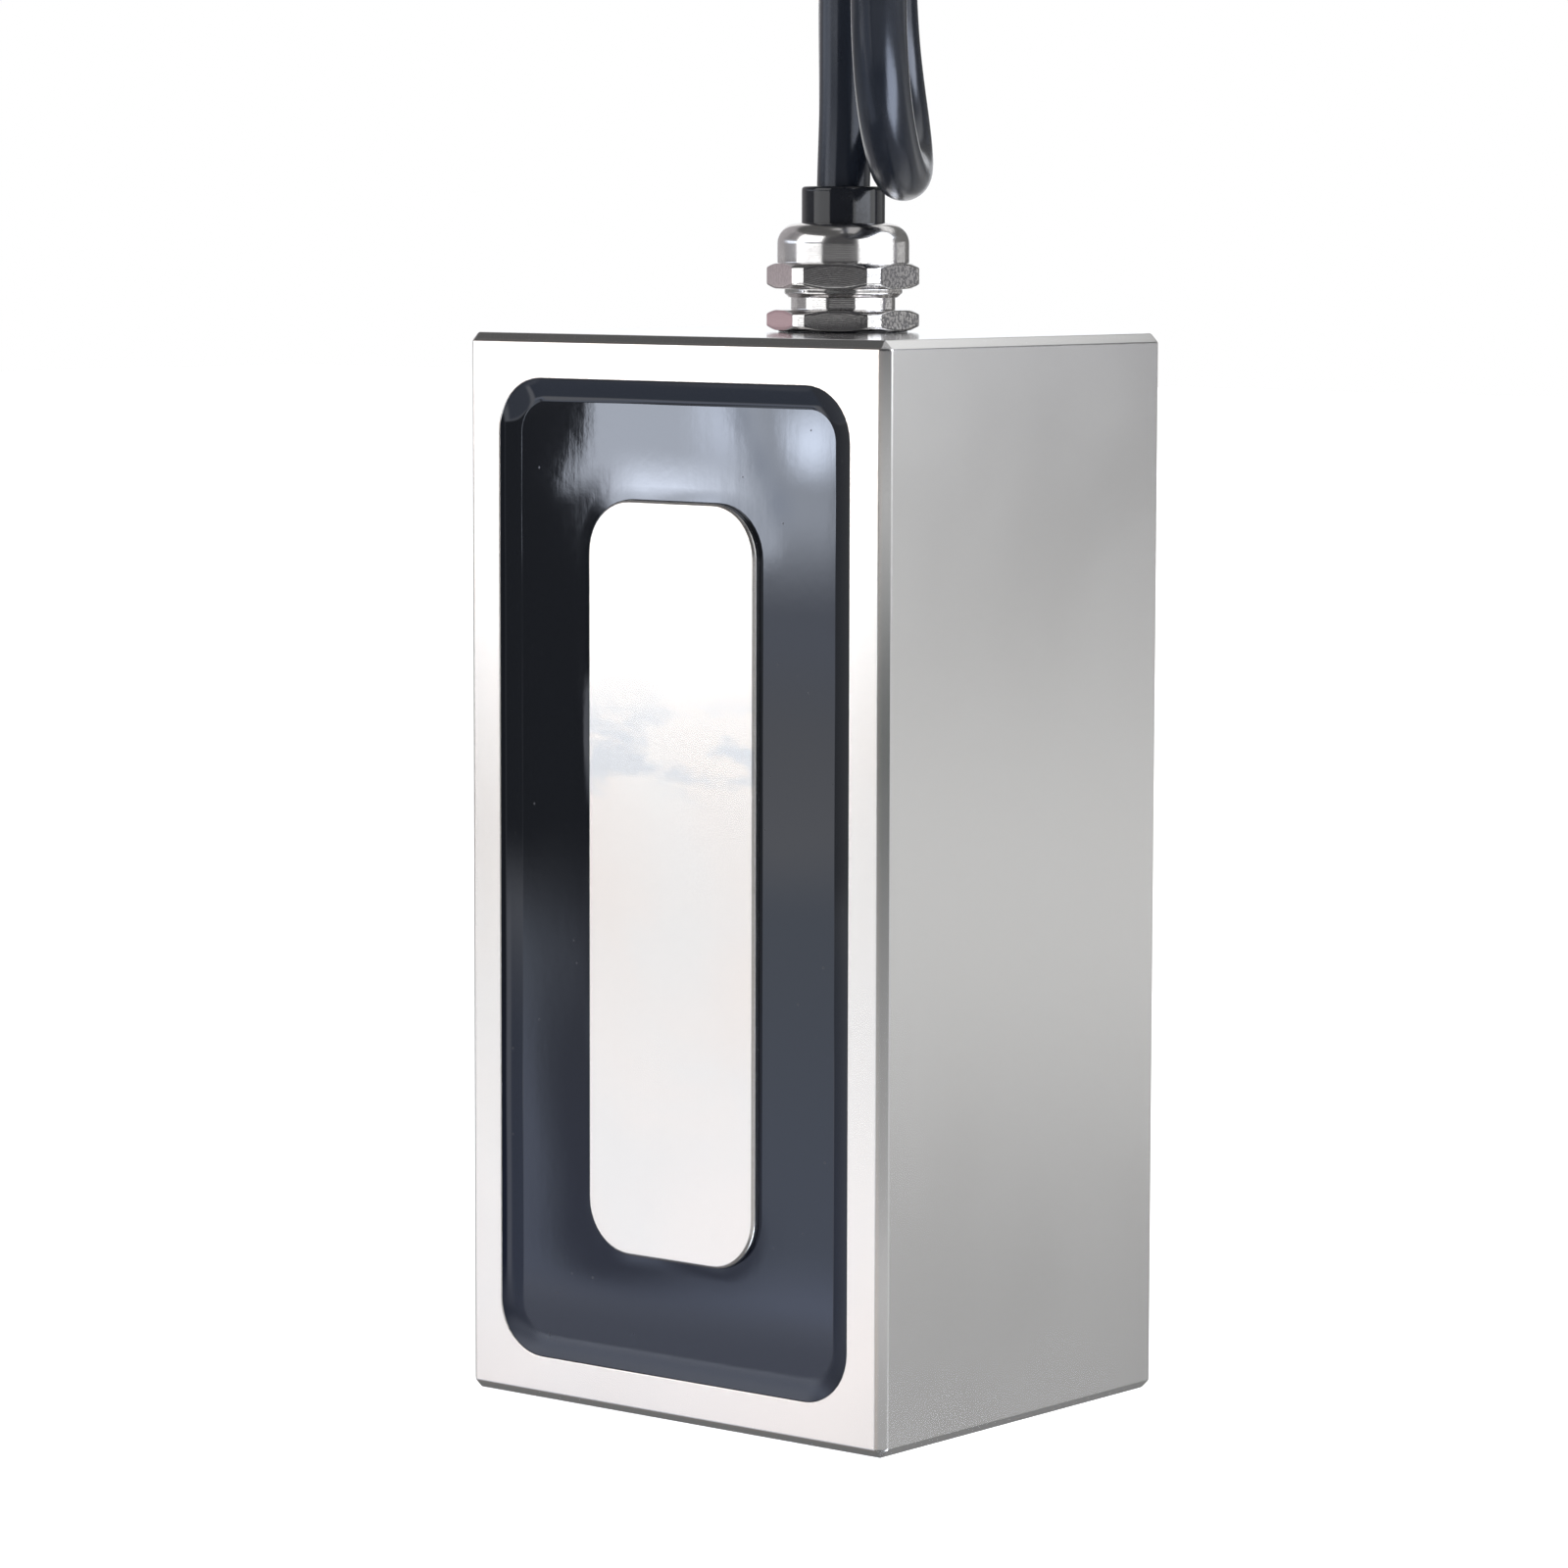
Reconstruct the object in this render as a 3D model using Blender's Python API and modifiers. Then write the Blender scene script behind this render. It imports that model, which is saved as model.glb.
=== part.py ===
"""Rectangular holding electromagnet: a potted coil round a central pole in a milled steel block.

The block stands on its plain end. The origin is the middle of that end, +Z runs up its length,
-Y is the pole face and +Y the mounting face. Lengths are in metres.
"""

import math

import bmesh
import bpy
import numpy as np
from mathutils import Vector

MM = 0.001
GAP = 0.3 * MM        # clearance between pieces that seat on or in each other
THIN_GAP = 0.1 * MM   # clearance at the gland's flat seats
OVERCUT = 2 * MM      # how far a cutter runs past the face that it opens
ROUND_STEPS = 48
CORNER_STEPS = 10

# Block
WIDTH = 60 * MM
DEPTH = 50 * MM
HEIGHT = 120 * MM
EDGE_CHAMFER = 1 * MM
RIM = 5 * MM
SLOT_CORNER = 6 * MM
BACK_WALL = 12 * MM

# Pole
CHANNEL = 13 * MM     # from the pole to the slot's wall, all the way round
CORE_CORNER = 6 * MM
CORE_CHAMFER = 0.3 * MM
CORE_SCREW_PITCH = 40 * MM
CORE_TAP_DEPTH = 14 * MM

# M6 socket head screw and its counterbore
SCREW_DIAMETER = 6 * MM
SCREW_LENGTH = 18 * MM
SCREW_HEAD_DIAMETER = 10 * MM
SCREW_HEAD_HEIGHT = 6 * MM
SCREW_HEAD_CHAMFER = 0.5 * MM
SCREW_POINT_CHAMFER = 0.8 * MM
SCREW_KEY = 5 * MM
SCREW_KEY_DEPTH = 3 * MM
SCREW_SUNK = 0.3 * MM

# M8 mounting holes
MOUNT_PITCH = 80 * MM
MOUNT_TAP_DIAMETER = 6.8 * MM
MOUNT_DEPTH = 9 * MM
MOUNT_MOUTH_CHAMFER = 0.7 * MM
DRILL_POINT = math.radians(118)

# Coil and resin
RESIN_SINK = 0.9 * MM
RESIN_COVER = 3.6 * MM    # resin over the coil
RESIN_WALL = 2.4 * MM     # resin between the coil and the slot's wall
RESIN_LIP = 0.1 * MM
MENISCUS_RADIUS = 4.3 * MM
MENISCUS_WIDTH = 2.5 * MM
BOBBIN_WALL = 1.2 * MM
FLANGE = 1.2 * MM
TAPE = 0.4 * MM
INSULATION = 0.5 * MM

# Cable and the wires inside
CABLE_DIAMETER = 6 * MM
CORE_WIRE = 1.4 * MM
LEAD_WIRE = 1.0 * MM
SPLICE_DIAMETER = 2 * MM
SPLICE_LENGTH = 10 * MM
SHEATH_RISE = 3.1 * MM    # from the gland's inner end to the end of the cable's sheath
WIRE_RISE = 1.6 * MM      # from the winding's tape to the wires' level
LEAD_ANGLE = math.radians(30)   # where the winding's leads meet its rounded corners

# Gland
GLAND_BACK = 5 * MM       # the gland's axis lies this far behind the block's middle
GLAND_THREAD = 11.8 * MM
GLAND_BORE = 8.8 * MM
HEX_ACROSS = 15.3 * MM
HEX_CORNER = 1.8 * MM
HEX_CHAMFER_ACROSS = 15.6 * MM
BASE_TURN = math.radians(2.8)
NUT_TURN = math.radians(2.1)
GASKET_DIAMETER = 14.4 * MM
GASKET = 0.3 * MM
BASE_HEX = 2.0 * MM
NECK = 1.1 * MM
NUT_LIP_DIAMETER = 13.4 * MM
NUT_LIP = 1.25 * MM
NUT_LIP_CHAMFER = 0.75 * MM
NUT_HEX = 2.85 * MM
DOME_DIAMETER = 14.9 * MM
DOME = 4.5 * MM
DOME_SHOULDER = 2.3 * MM
DOME_TOP_WALL = 0.7 * MM
SEAL_WALL = 1.0 * MM
SEAL_BELOW = 6 * MM       # the seal reaches this far down into the body
CLAW_HEIGHT = 2.6 * MM
CLAW_SLOTS = 4
CLAW_SLOT = 0.8 * MM
SLEEVE_DIAMETER = 9.4 * MM
SLEEVE = 4.1 * MM

# Levels and sizes that follow from these
FRONT = -DEPTH / 2
BACK = DEPTH / 2
FLOOR = BACK - BACK_WALL
SLOT_WIDTH = WIDTH - 2 * RIM
SLOT_HEIGHT = HEIGHT - 2 * RIM
CORE_WIDTH = SLOT_WIDTH - 2 * CHANNEL
CORE_HEIGHT = SLOT_HEIGHT - 2 * CHANNEL
MIDDLE = HEIGHT / 2
SCREW_SEAT = BACK - SCREW_SUNK - SCREW_HEAD_HEIGHT - GAP
THREAD_HOLE = SCREW_DIAMETER + 2 * GAP

RESIN_LEVEL = FRONT + RESIN_SINK
COIL_FRONT = RESIN_LEVEL + RESIN_COVER
COIL_BACK = FLOOR - INSULATION - 2 * GAP
RESIN_IN = CHANNEL - GAP - RESIN_WALL
FLANGE_OUT = RESIN_IN - GAP
TAPE_OUT = FLANGE_OUT - GAP
WINDING_OUT = TAPE_OUT - TAPE - GAP
WINDING_IN = 2 * GAP + BOBBIN_WALL
WIRE_LEVEL = MIDDLE + CORE_HEIGHT / 2 + TAPE_OUT + WIRE_RISE

GASKET_LEVEL = HEIGHT + THIN_GAP
BASE_LEVEL = GASKET_LEVEL + GASKET + THIN_GAP
NECK_LEVEL = BASE_LEVEL + BASE_HEX
LIP_LEVEL = NECK_LEVEL + NECK
NUT_LEVEL = LIP_LEVEL + NUT_LIP
DOME_LEVEL = NUT_LEVEL + NUT_HEX
DOME_TOP = DOME_LEVEL + DOME
BODY_TOP = DOME_LEVEL
STUB_END = HEIGHT - RIM - THIN_GAP
CABLE_START = STUB_END + SHEATH_RISE
CLAW_LEVEL = BODY_TOP + GAP
CLAW_TOP = CLAW_LEVEL + CLAW_HEIGHT
SEAL_DIAMETER = CABLE_DIAMETER + 2 * (GAP + SEAL_WALL)
SEAL_TOP = DOME_TOP - DOME_TOP_WALL - GAP
SLEEVE_LEVEL = SEAL_TOP + GAP
CABLE_EXIT = DOME_TOP + SLEEVE

# The cable's route up to its coil, chosen by hand: (x, y, z) in mm. It rises out of the gland, bends
# over, drops in a bight beside the gland, rises again and hangs down behind the block onto the coil.
CABLE_ROUTE = [
    (0, 5, 127), (0, 5, 136.3), (0.2, 5.1, 144), (0, 5.4, 152), (0.1, 5.6, 166.6), (2, 4, 174.4),
    (6.1, -0.3, 180), (11.5, -6.2, 181.8), (16.9, -11.9, 179.4), (20.8, -15.9, 173.4), (22.3, -17, 165.4),
    (22, -16.5, 155.5), (19.8, -12.8, 145.6), (15.8, -5.6, 138.9), (10.5, 3, 138), (5.2, 9.2, 143.2),
    (1.8, 11.8, 151.5), (-0.1, 12.8, 166.2), (-2.7, 14.6, 174), (-7.8, 19.4, 178.6), (-13.7, 25.3, 178.2),
    (-18.6, 29.8, 173.1), (-20.7, 31.1, 165), (-20.4, 30.5, 150), (-19.4, 29.3, 134), (-19, 28.8, 118),
    (-19, 28.8, 98), (-19, 28.8, 78), (-18.7, 29.5, 60), (-17.8, 31, 46), (-15.4, 34.8, 34.5),
    (-11.6, 41, 27.2), (-8.9, 48.5, 23.7),
]
TAIL_ROUTE = [(-17.6, 30.7, 3.1), (-12.8, 30.2, 3.1), (-8, 30, 3.1)]
CABLE_STEP = 2.2 * CABLE_DIAMETER
COIL_CENTRE = (-38 * MM, 61 * MM)
COIL_RADIUS = 30 * MM
COIL_LAYERS = 3
LAYER_RISE = CABLE_DIAMETER + 0.2 * MM
TIE_BAND = 0.9 * MM
TIE_WIDTH = 3.6 * MM
TIE_HEAD = 4.4 * MM
TIE_ANGLE = math.radians(125)
COIL_LEVEL = TIE_BAND + 0.5 * MM
COIL_HEIGHT = COIL_LAYERS * LAYER_RISE + 0.4 * MM

# The bare end of the cable
END_CORE_LENGTH = 20 * MM
END_CORE_WIRE = 1.8 * MM
END_CORE_SPREAD = 1.1 * MM
END_CORE_FAN = 1.6 * MM
TIP_WIRE = 1.2 * MM
TIP_LENGTH = 6 * MM

PARTS = "holding_electromagnet"
CUTTERS = "cutters"


def clear_scene():
    for item in list(bpy.data.objects):
        bpy.data.objects.remove(item, do_unlink=True)
    for name in (PARTS, CUTTERS):
        if name not in bpy.data.collections:
            bpy.context.scene.collection.children.link(bpy.data.collections.new(name))


def finish_of(name, colour, roughness, metallic=0.0):
    finish = bpy.data.materials.new(name)
    finish.use_nodes = True
    shader = finish.node_tree.nodes["Principled BSDF"]
    shader.inputs["Base Color"].default_value = (*colour, 1)
    shader.inputs["Roughness"].default_value = roughness
    shader.inputs["Metallic"].default_value = metallic
    return finish


def add_object(name, mesh, finish=None):
    """A part if it has a finish, otherwise a cutter."""
    item = bpy.data.objects.new(name, mesh)
    bpy.data.collections[PARTS if finish else CUTTERS].objects.link(item)
    if finish:
        item.data.materials.append(finish)
    else:
        item.hide_render = True
        item.display_type = "WIRE"
    return item


def shade_round(item):
    item.data.shade_smooth()
    item.data.set_sharp_from_angle(angle=math.radians(30))
    return item


def box(name, size, centre, finish=None):
    mesh = bpy.data.meshes.new(name)
    work = bmesh.new()
    bmesh.ops.create_cube(work, size=1)
    bmesh.ops.scale(work, vec=Vector(size), verts=work.verts)
    work.to_mesh(mesh)
    work.free()
    item = add_object(name, mesh, finish)
    item.location = centre
    return item


def hexagon(name, across, low, high, finish=None):
    """A hexagonal bar along Z with two flats facing +X and -X."""
    mesh = bpy.data.meshes.new(name)
    work = bmesh.new()
    corner = across / math.sqrt(3)
    bmesh.ops.create_cone(work, cap_ends=True, segments=6, radius1=corner, radius2=corner, depth=high - low)
    bmesh.ops.translate(work, vec=(0, 0, (low + high) / 2), verts=work.verts)
    work.to_mesh(mesh)
    work.free()
    return add_object(name, mesh, finish)


def turned(name, profile, finish=None):
    """A profile of (radius, height) turned round Z, listed down its outer side and back up its bore."""
    mesh = bpy.data.meshes.new(name)
    count = len(profile)
    closed = min(radius for radius, height in profile) > 0
    edges = [(i, (i + 1) % count) for i in range(count if closed else count - 1)]
    mesh.from_pydata([(radius, 0, height) for radius, height in profile], edges, [])
    item = add_object(name, mesh, finish)
    screw = item.modifiers.new("turn", "SCREW")
    screw.steps = screw.render_steps = ROUND_STEPS
    screw.use_merge_vertices = True
    screw.merge_threshold = 0.01 * MM
    return item


def arc(centre, radius, first, last, steps=6):
    """Points of a profile along an arc, its angles in degrees from the outward direction."""
    angles = [math.radians(first + (last - first) * i / steps) for i in range(steps + 1)]
    return [(centre[0] + radius * math.cos(a), centre[1] + radius * math.sin(a)) for a in angles]


def rounded_rectangle(width, height, corner):
    points = []
    for turn, (side, end) in enumerate([(1, 1), (-1, 1), (-1, -1), (1, -1)]):
        centre = (side * (width / 2 - corner), end * (height / 2 - corner))
        points += arc(centre, corner, 90 * turn, 90 * turn + 90, CORNER_STEPS)
    return points


def flat_piece(name, outlines, low, high, finish=None):
    """A plate between two levels. The first outline is its edge, and a second one is its window."""
    curve = bpy.data.curves.new(name, "CURVE")
    curve.dimensions = "2D"
    curve.fill_mode = "BOTH"
    curve.extrude = (high - low) / 2
    for outline in outlines:
        spline = curve.splines.new("POLY")
        spline.points.add(len(outline) - 1)
        spline.points.foreach_set("co", [c for x, y in outline for c in (x, y, (low + high) / 2, 1)])
        spline.use_cyclic_u = True
    return curve_to_mesh(name, curve, finish)


def curve_to_mesh(name, curve, finish=None):
    guide = bpy.data.objects.new(name + "_guide", curve)
    bpy.context.scene.collection.objects.link(guide)
    bpy.context.view_layer.update()
    mesh = bpy.data.meshes.new_from_object(guide.evaluated_get(bpy.context.evaluated_depsgraph_get()))
    bpy.data.objects.remove(guide)
    mesh.materials.clear()
    work = bmesh.new()
    work.from_mesh(mesh)
    bmesh.ops.remove_doubles(work, verts=work.verts, dist=0.001 * MM)
    bmesh.ops.recalc_face_normals(work, faces=work.faces)
    work.to_mesh(mesh)
    work.free()
    return add_object(name, mesh, finish)


def pole_outline(offset):
    """The pole's outline, moved outwards."""
    return rounded_rectangle(CORE_WIDTH + 2 * offset, CORE_HEIGHT + 2 * offset, CORE_CORNER + offset)


def slot_outline(offset):
    """The slot's outline, moved outwards."""
    return rounded_rectangle(SLOT_WIDTH + 2 * offset, SLOT_HEIGHT + 2 * offset, SLOT_CORNER + offset)


def coil_plate(name, outlines, front, back, finish=None):
    """A plate round the pole, between two depths of the block."""
    item = flat_piece(name, outlines, -back, -front, finish)
    item.location = (0, 0, MIDDLE)
    item.rotation_euler = (math.pi / 2, 0, 0)
    return item


def smooth_line(route, step):
    """Points at even steps on the natural cubic spline through the route's own points."""
    knots = np.array(route, float)
    along = np.r_[0, np.cumsum(np.linalg.norm(np.diff(knots, axis=0), axis=1))]
    gaps = np.diff(along)
    system = np.eye(len(knots))
    right = np.zeros_like(knots)
    for i in range(1, len(knots) - 1):
        system[i, i - 1:i + 2] = gaps[i - 1], 2 * (gaps[i - 1] + gaps[i]), gaps[i]
        right[i] = 6 * ((knots[i + 1] - knots[i]) / gaps[i] - (knots[i] - knots[i - 1]) / gaps[i - 1])
    bend = np.linalg.solve(system, right)
    at = np.linspace(0, along[-1], max(2, round(along[-1] / step) + 1))
    span = np.clip(np.searchsorted(along, at, side="right") - 1, 0, len(gaps) - 1)
    width = gaps[span][:, None]
    after = (at - along[span])[:, None]
    before = width - after
    return (
        (bend[span] * before**3 + bend[span + 1] * after**3) / (6 * width)
        + (knots[span] / width - bend[span] * width / 6) * before
        + (knots[span + 1] / width - bend[span + 1] * width / 6) * after
    )


def wire(name, points, diameter, finish, resolution=2):
    curve = bpy.data.curves.new(name, "CURVE")
    curve.dimensions = "3D"
    curve.bevel_depth = diameter / 2
    curve.bevel_resolution = resolution
    curve.use_fill_caps = True
    spline = curve.splines.new("POLY")
    spline.points.add(len(points) - 1)
    spline.points.foreach_set("co", [c for point in points for c in (*point, 1)])
    return shade_round(curve_to_mesh(name, curve, finish))


def use(item, cutter, operation="DIFFERENCE"):
    step = item.modifiers.new(cutter.name, "BOOLEAN")
    step.operation = operation
    step.object = cutter
    step.solver = "EXACT"
    return item


def on_gland_axis(item, turn=0.0):
    item.location = (0, GLAND_BACK, 0)
    item.rotation_euler = (0, 0, turn)
    return item


def on_back_face(item, height):
    """Stands a piece turned round Z on the back face, its +Z pointing out of the block."""
    item.location = (0, BACK, height)
    item.rotation_euler = (-math.pi / 2, 0, 0)
    return item


def screw_heights():
    return {"upper": MIDDLE + CORE_SCREW_PITCH / 2, "lower": MIDDLE - CORE_SCREW_PITCH / 2}


def counterbore_profile():
    hole, head = THREAD_HOLE / 2, SCREW_HEAD_DIAMETER / 2 + GAP
    seat = SCREW_SEAT - BACK
    through = -BACK_WALL - OVERCUT
    return [(0, OVERCUT), (head, OVERCUT), (head, seat), (hole, seat), (hole, through), (0, through)]


def mounting_hole_profile():
    radius = MOUNT_TAP_DIAMETER / 2
    mouth = radius + MOUNT_MOUTH_CHAMFER
    point = radius / math.tan(DRILL_POINT / 2)
    return [
        (0, OVERCUT), (mouth, OVERCUT), (mouth, 0), (radius, -MOUNT_MOUTH_CHAMFER), (radius, -MOUNT_DEPTH),
        (0, -MOUNT_DEPTH - point),
    ]


def make_housing(steel):
    housing = box("housing", (WIDTH, DEPTH, HEIGHT), (0, 0, MIDDLE), steel)
    edges = housing.modifiers.new("edges", "BEVEL")
    edges.width = EDGE_CHAMFER
    edges.segments = 1
    use(housing, coil_plate("slot_cutter", [slot_outline(0)], FRONT - OVERCUT, FLOOR))
    gland_hole = GLAND_THREAD / 2 + GAP
    use(housing, on_gland_axis(turned("gland_hole_cutter", [
        (0, HEIGHT + OVERCUT), (gland_hole, HEIGHT + OVERCUT), (gland_hole, HEIGHT - RIM - OVERCUT),
        (0, HEIGHT - RIM - OVERCUT),
    ])))
    for place, height in screw_heights().items():
        use(housing, on_back_face(turned(f"counterbore_{place}_cutter", counterbore_profile()), height))
    for place, side in (("upper", 1), ("lower", -1)):
        cutter = turned(f"mounting_hole_{place}_cutter", mounting_hole_profile())
        use(housing, on_back_face(cutter, MIDDLE + side * MOUNT_PITCH / 2))


def make_pole(steel):
    core = coil_plate("pole_core", [pole_outline(0)], FRONT, FLOOR - GAP, steel)
    work = bmesh.new()
    work.from_mesh(core.data)
    face = max(v.co.z for v in work.verts)
    on_face = [e for e in work.edges if all(abs(v.co.z - face) < 0.01 * MM for v in e.verts)]
    rim = [e for e in on_face if e.calc_face_angle(0) > 1]
    bmesh.ops.bevel(work, geom=rim, offset=CORE_CHAMFER, segments=1, affect="EDGES")
    work.to_mesh(core.data)
    work.free()
    tap = [(0, OVERCUT), (THREAD_HOLE / 2, OVERCUT), (THREAD_HOLE / 2, -CORE_TAP_DEPTH)]
    tap += [(0, -CORE_TAP_DEPTH - THREAD_HOLE / 2 / math.tan(DRILL_POINT / 2))]
    for place, height in screw_heights().items():
        cutter = on_back_face(turned(f"core_tap_{place}_cutter", tap), height)
        cutter.location.y = FLOOR - GAP
        use(core, cutter)


def make_core_screws(zinc):
    head, shank = SCREW_HEAD_DIAMETER / 2, SCREW_DIAMETER / 2
    profile = [
        (0, SCREW_HEAD_HEIGHT), (head - SCREW_HEAD_CHAMFER, SCREW_HEAD_HEIGHT),
        (head, SCREW_HEAD_HEIGHT - SCREW_HEAD_CHAMFER), (head, 0), (shank, 0),
        (shank, SCREW_POINT_CHAMFER - SCREW_LENGTH), (shank - SCREW_POINT_CHAMFER, -SCREW_LENGTH),
        (0, -SCREW_LENGTH),
    ]
    key_bottom, key_top = SCREW_HEAD_HEIGHT - SCREW_KEY_DEPTH, SCREW_HEAD_HEIGHT + OVERCUT
    for place, height in screw_heights().items():
        screw = on_back_face(turned(f"core_screw_{place}", profile, zinc), height)
        key = on_back_face(hexagon(f"key_{place}_cutter", SCREW_KEY, key_bottom, key_top), height)
        for item in (screw, key):
            item.location.y = SCREW_SEAT + GAP
        use(screw, key)


def make_coil(card, nylon, copper, tape):
    sheet = [slot_outline(-GAP), pole_outline(GAP)]
    coil_plate("floor_insulation", sheet, FLOOR - GAP - INSULATION, FLOOR - GAP, card)
    bobbin = coil_plate("coil_bobbin", [pole_outline(FLANGE_OUT)], COIL_FRONT, COIL_BACK, nylon)
    use(bobbin, coil_plate("bobbin_hole_cutter", [pole_outline(GAP)], FRONT, BACK))
    window = [pole_outline(FLANGE_OUT + OVERCUT), pole_outline(GAP + BOBBIN_WALL)]
    front, back = COIL_FRONT + FLANGE, COIL_BACK - FLANGE
    use(bobbin, coil_plate("bobbin_window_cutter", window, front, back))
    turns = [pole_outline(WINDING_OUT), pole_outline(WINDING_IN)]
    coil_plate("coil_winding", turns, front + GAP, back - GAP, copper)
    band = [pole_outline(TAPE_OUT), pole_outline(WINDING_OUT + GAP)]
    coil_plate("winding_tape", band, front + GAP, back - GAP, tape)


def lead_seat():
    """Where a winding lead comes down on the tape's rounded corner: across and up."""
    corner = CORE_CORNER + TAPE_OUT
    across = CORE_WIDTH / 2 - CORE_CORNER + corner * math.cos(LEAD_ANGLE) + LEAD_WIRE / 2 + GAP
    return across, MIDDLE + CORE_HEIGHT / 2 - CORE_CORNER + corner * math.sin(LEAD_ANGLE)


def wire_reach():
    """How far the splices, and the leads beyond them, reach to each side."""
    splice_end = GLAND_THREAD / 2 + 2 * GAP + SPLICE_LENGTH + LEAD_WIRE
    return max(lead_seat()[0], splice_end) + LEAD_WIRE / 2 + GAP


def make_resin(black):
    """Resin over and round the coil: level at the pole, drawn up the slot's wall in a concave meniscus."""
    resin = coil_plate(
        "potting_resin", [slot_outline(-GAP)], FRONT + RESIN_LIP, FLOOR - 2 * GAP - INSULATION, black
    )
    use(resin, coil_plate("resin_pole_cutter", [pole_outline(GAP)], FRONT - OVERCUT, BACK))
    use(resin, coil_plate("resin_coil_cutter", [pole_outline(RESIN_IN)], COIL_FRONT - GAP, BACK))
    reach = MENISCUS_RADIUS - MENISCUS_WIDTH - GAP
    depth = 2 * MENISCUS_RADIUS + OVERCUT
    surface = coil_plate("meniscus_cutter", [slot_outline(reach)], RESIN_LEVEL - depth, RESIN_LEVEL)
    bowl = surface.modifiers.new("bowl", "BEVEL")
    bowl.width = MENISCUS_RADIUS
    bowl.segments = 8
    bowl.limit_method = "ANGLE"
    bowl.angle_limit = math.radians(60)
    use(resin, surface)
    front = GLAND_BACK - GLAND_THREAD / 2 - GAP
    low = lead_seat()[1] - LEAD_WIRE
    size = (2 * wire_reach(), BACK - front, HEIGHT - low)
    use(resin, box("wire_space_cutter", size, (0, (front + BACK) / 2, (low + HEIGHT) / 2)))


def make_wires(red, white, enamel, sleeve):
    """The cable's two cores run from its sheath to splices, and the winding's leads from there."""
    across, above = lead_seat()
    for name, side, colour in (("start", -1, red), ("finish", 1, white)):
        inner = side * (GLAND_THREAD / 2 + GAP)
        outer = inner + side * SPLICE_LENGTH
        near, far = inner - side * GAP, outer + side * GAP
        middle = side * CORE_WIRE * 0.8
        wire(f"inner_core_{name}", smooth_line([
            (middle, GLAND_BACK, CABLE_START - GAP), (middle, GLAND_BACK, CABLE_START - CORE_WIRE),
            (middle * 1.5, GLAND_BACK, WIRE_LEVEL + CORE_WIRE),
            (near - side * CORE_WIRE, GLAND_BACK, WIRE_LEVEL), (near, GLAND_BACK, WIRE_LEVEL),
        ], CORE_WIRE), CORE_WIRE, colour)
        wire(f"splice_{name}", [(inner, GLAND_BACK, WIRE_LEVEL), (outer, GLAND_BACK, WIRE_LEVEL)],
             SPLICE_DIAMETER, sleeve)
        wire(f"winding_lead_{name}", smooth_line([
            (far, GLAND_BACK, WIRE_LEVEL), (far + side * LEAD_WIRE, GLAND_BACK, WIRE_LEVEL),
            (side * across, GLAND_BACK, (above + WIRE_LEVEL) / 2), (side * across, GLAND_BACK, above),
        ], LEAD_WIRE), LEAD_WIRE, enamel)


def chamfer_blank(name, low, high):
    """The turned blank whose 30 degree chamfers round off a hexagon's corners at both ends."""
    wide = HEX_ACROSS / math.sqrt(3) + GAP
    end = HEX_CHAMFER_ACROSS / 2
    drop = (wide - end) * math.tan(math.radians(30))
    return on_gland_axis(turned(name, [
        (0, high), (end, high), (wide, high - drop), (wide, low + drop), (end, low), (0, low),
    ]))


def gland_hexagon(name, low, high, turn, nickel):
    item = on_gland_axis(hexagon(name, HEX_ACROSS, low, high, nickel), turn)
    work = bmesh.new()
    work.from_mesh(item.data)
    upright = [e for e in work.edges if abs(e.verts[0].co.z - e.verts[1].co.z) > MM / 10]
    setback = HEX_CORNER * math.tan(math.radians(30))
    bmesh.ops.bevel(work, geom=upright, offset=setback, segments=4, profile=0.5, affect="EDGES")
    work.to_mesh(item.data)
    work.free()
    return use(item, chamfer_blank(name + "_blank", low, high), "INTERSECT")


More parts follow.
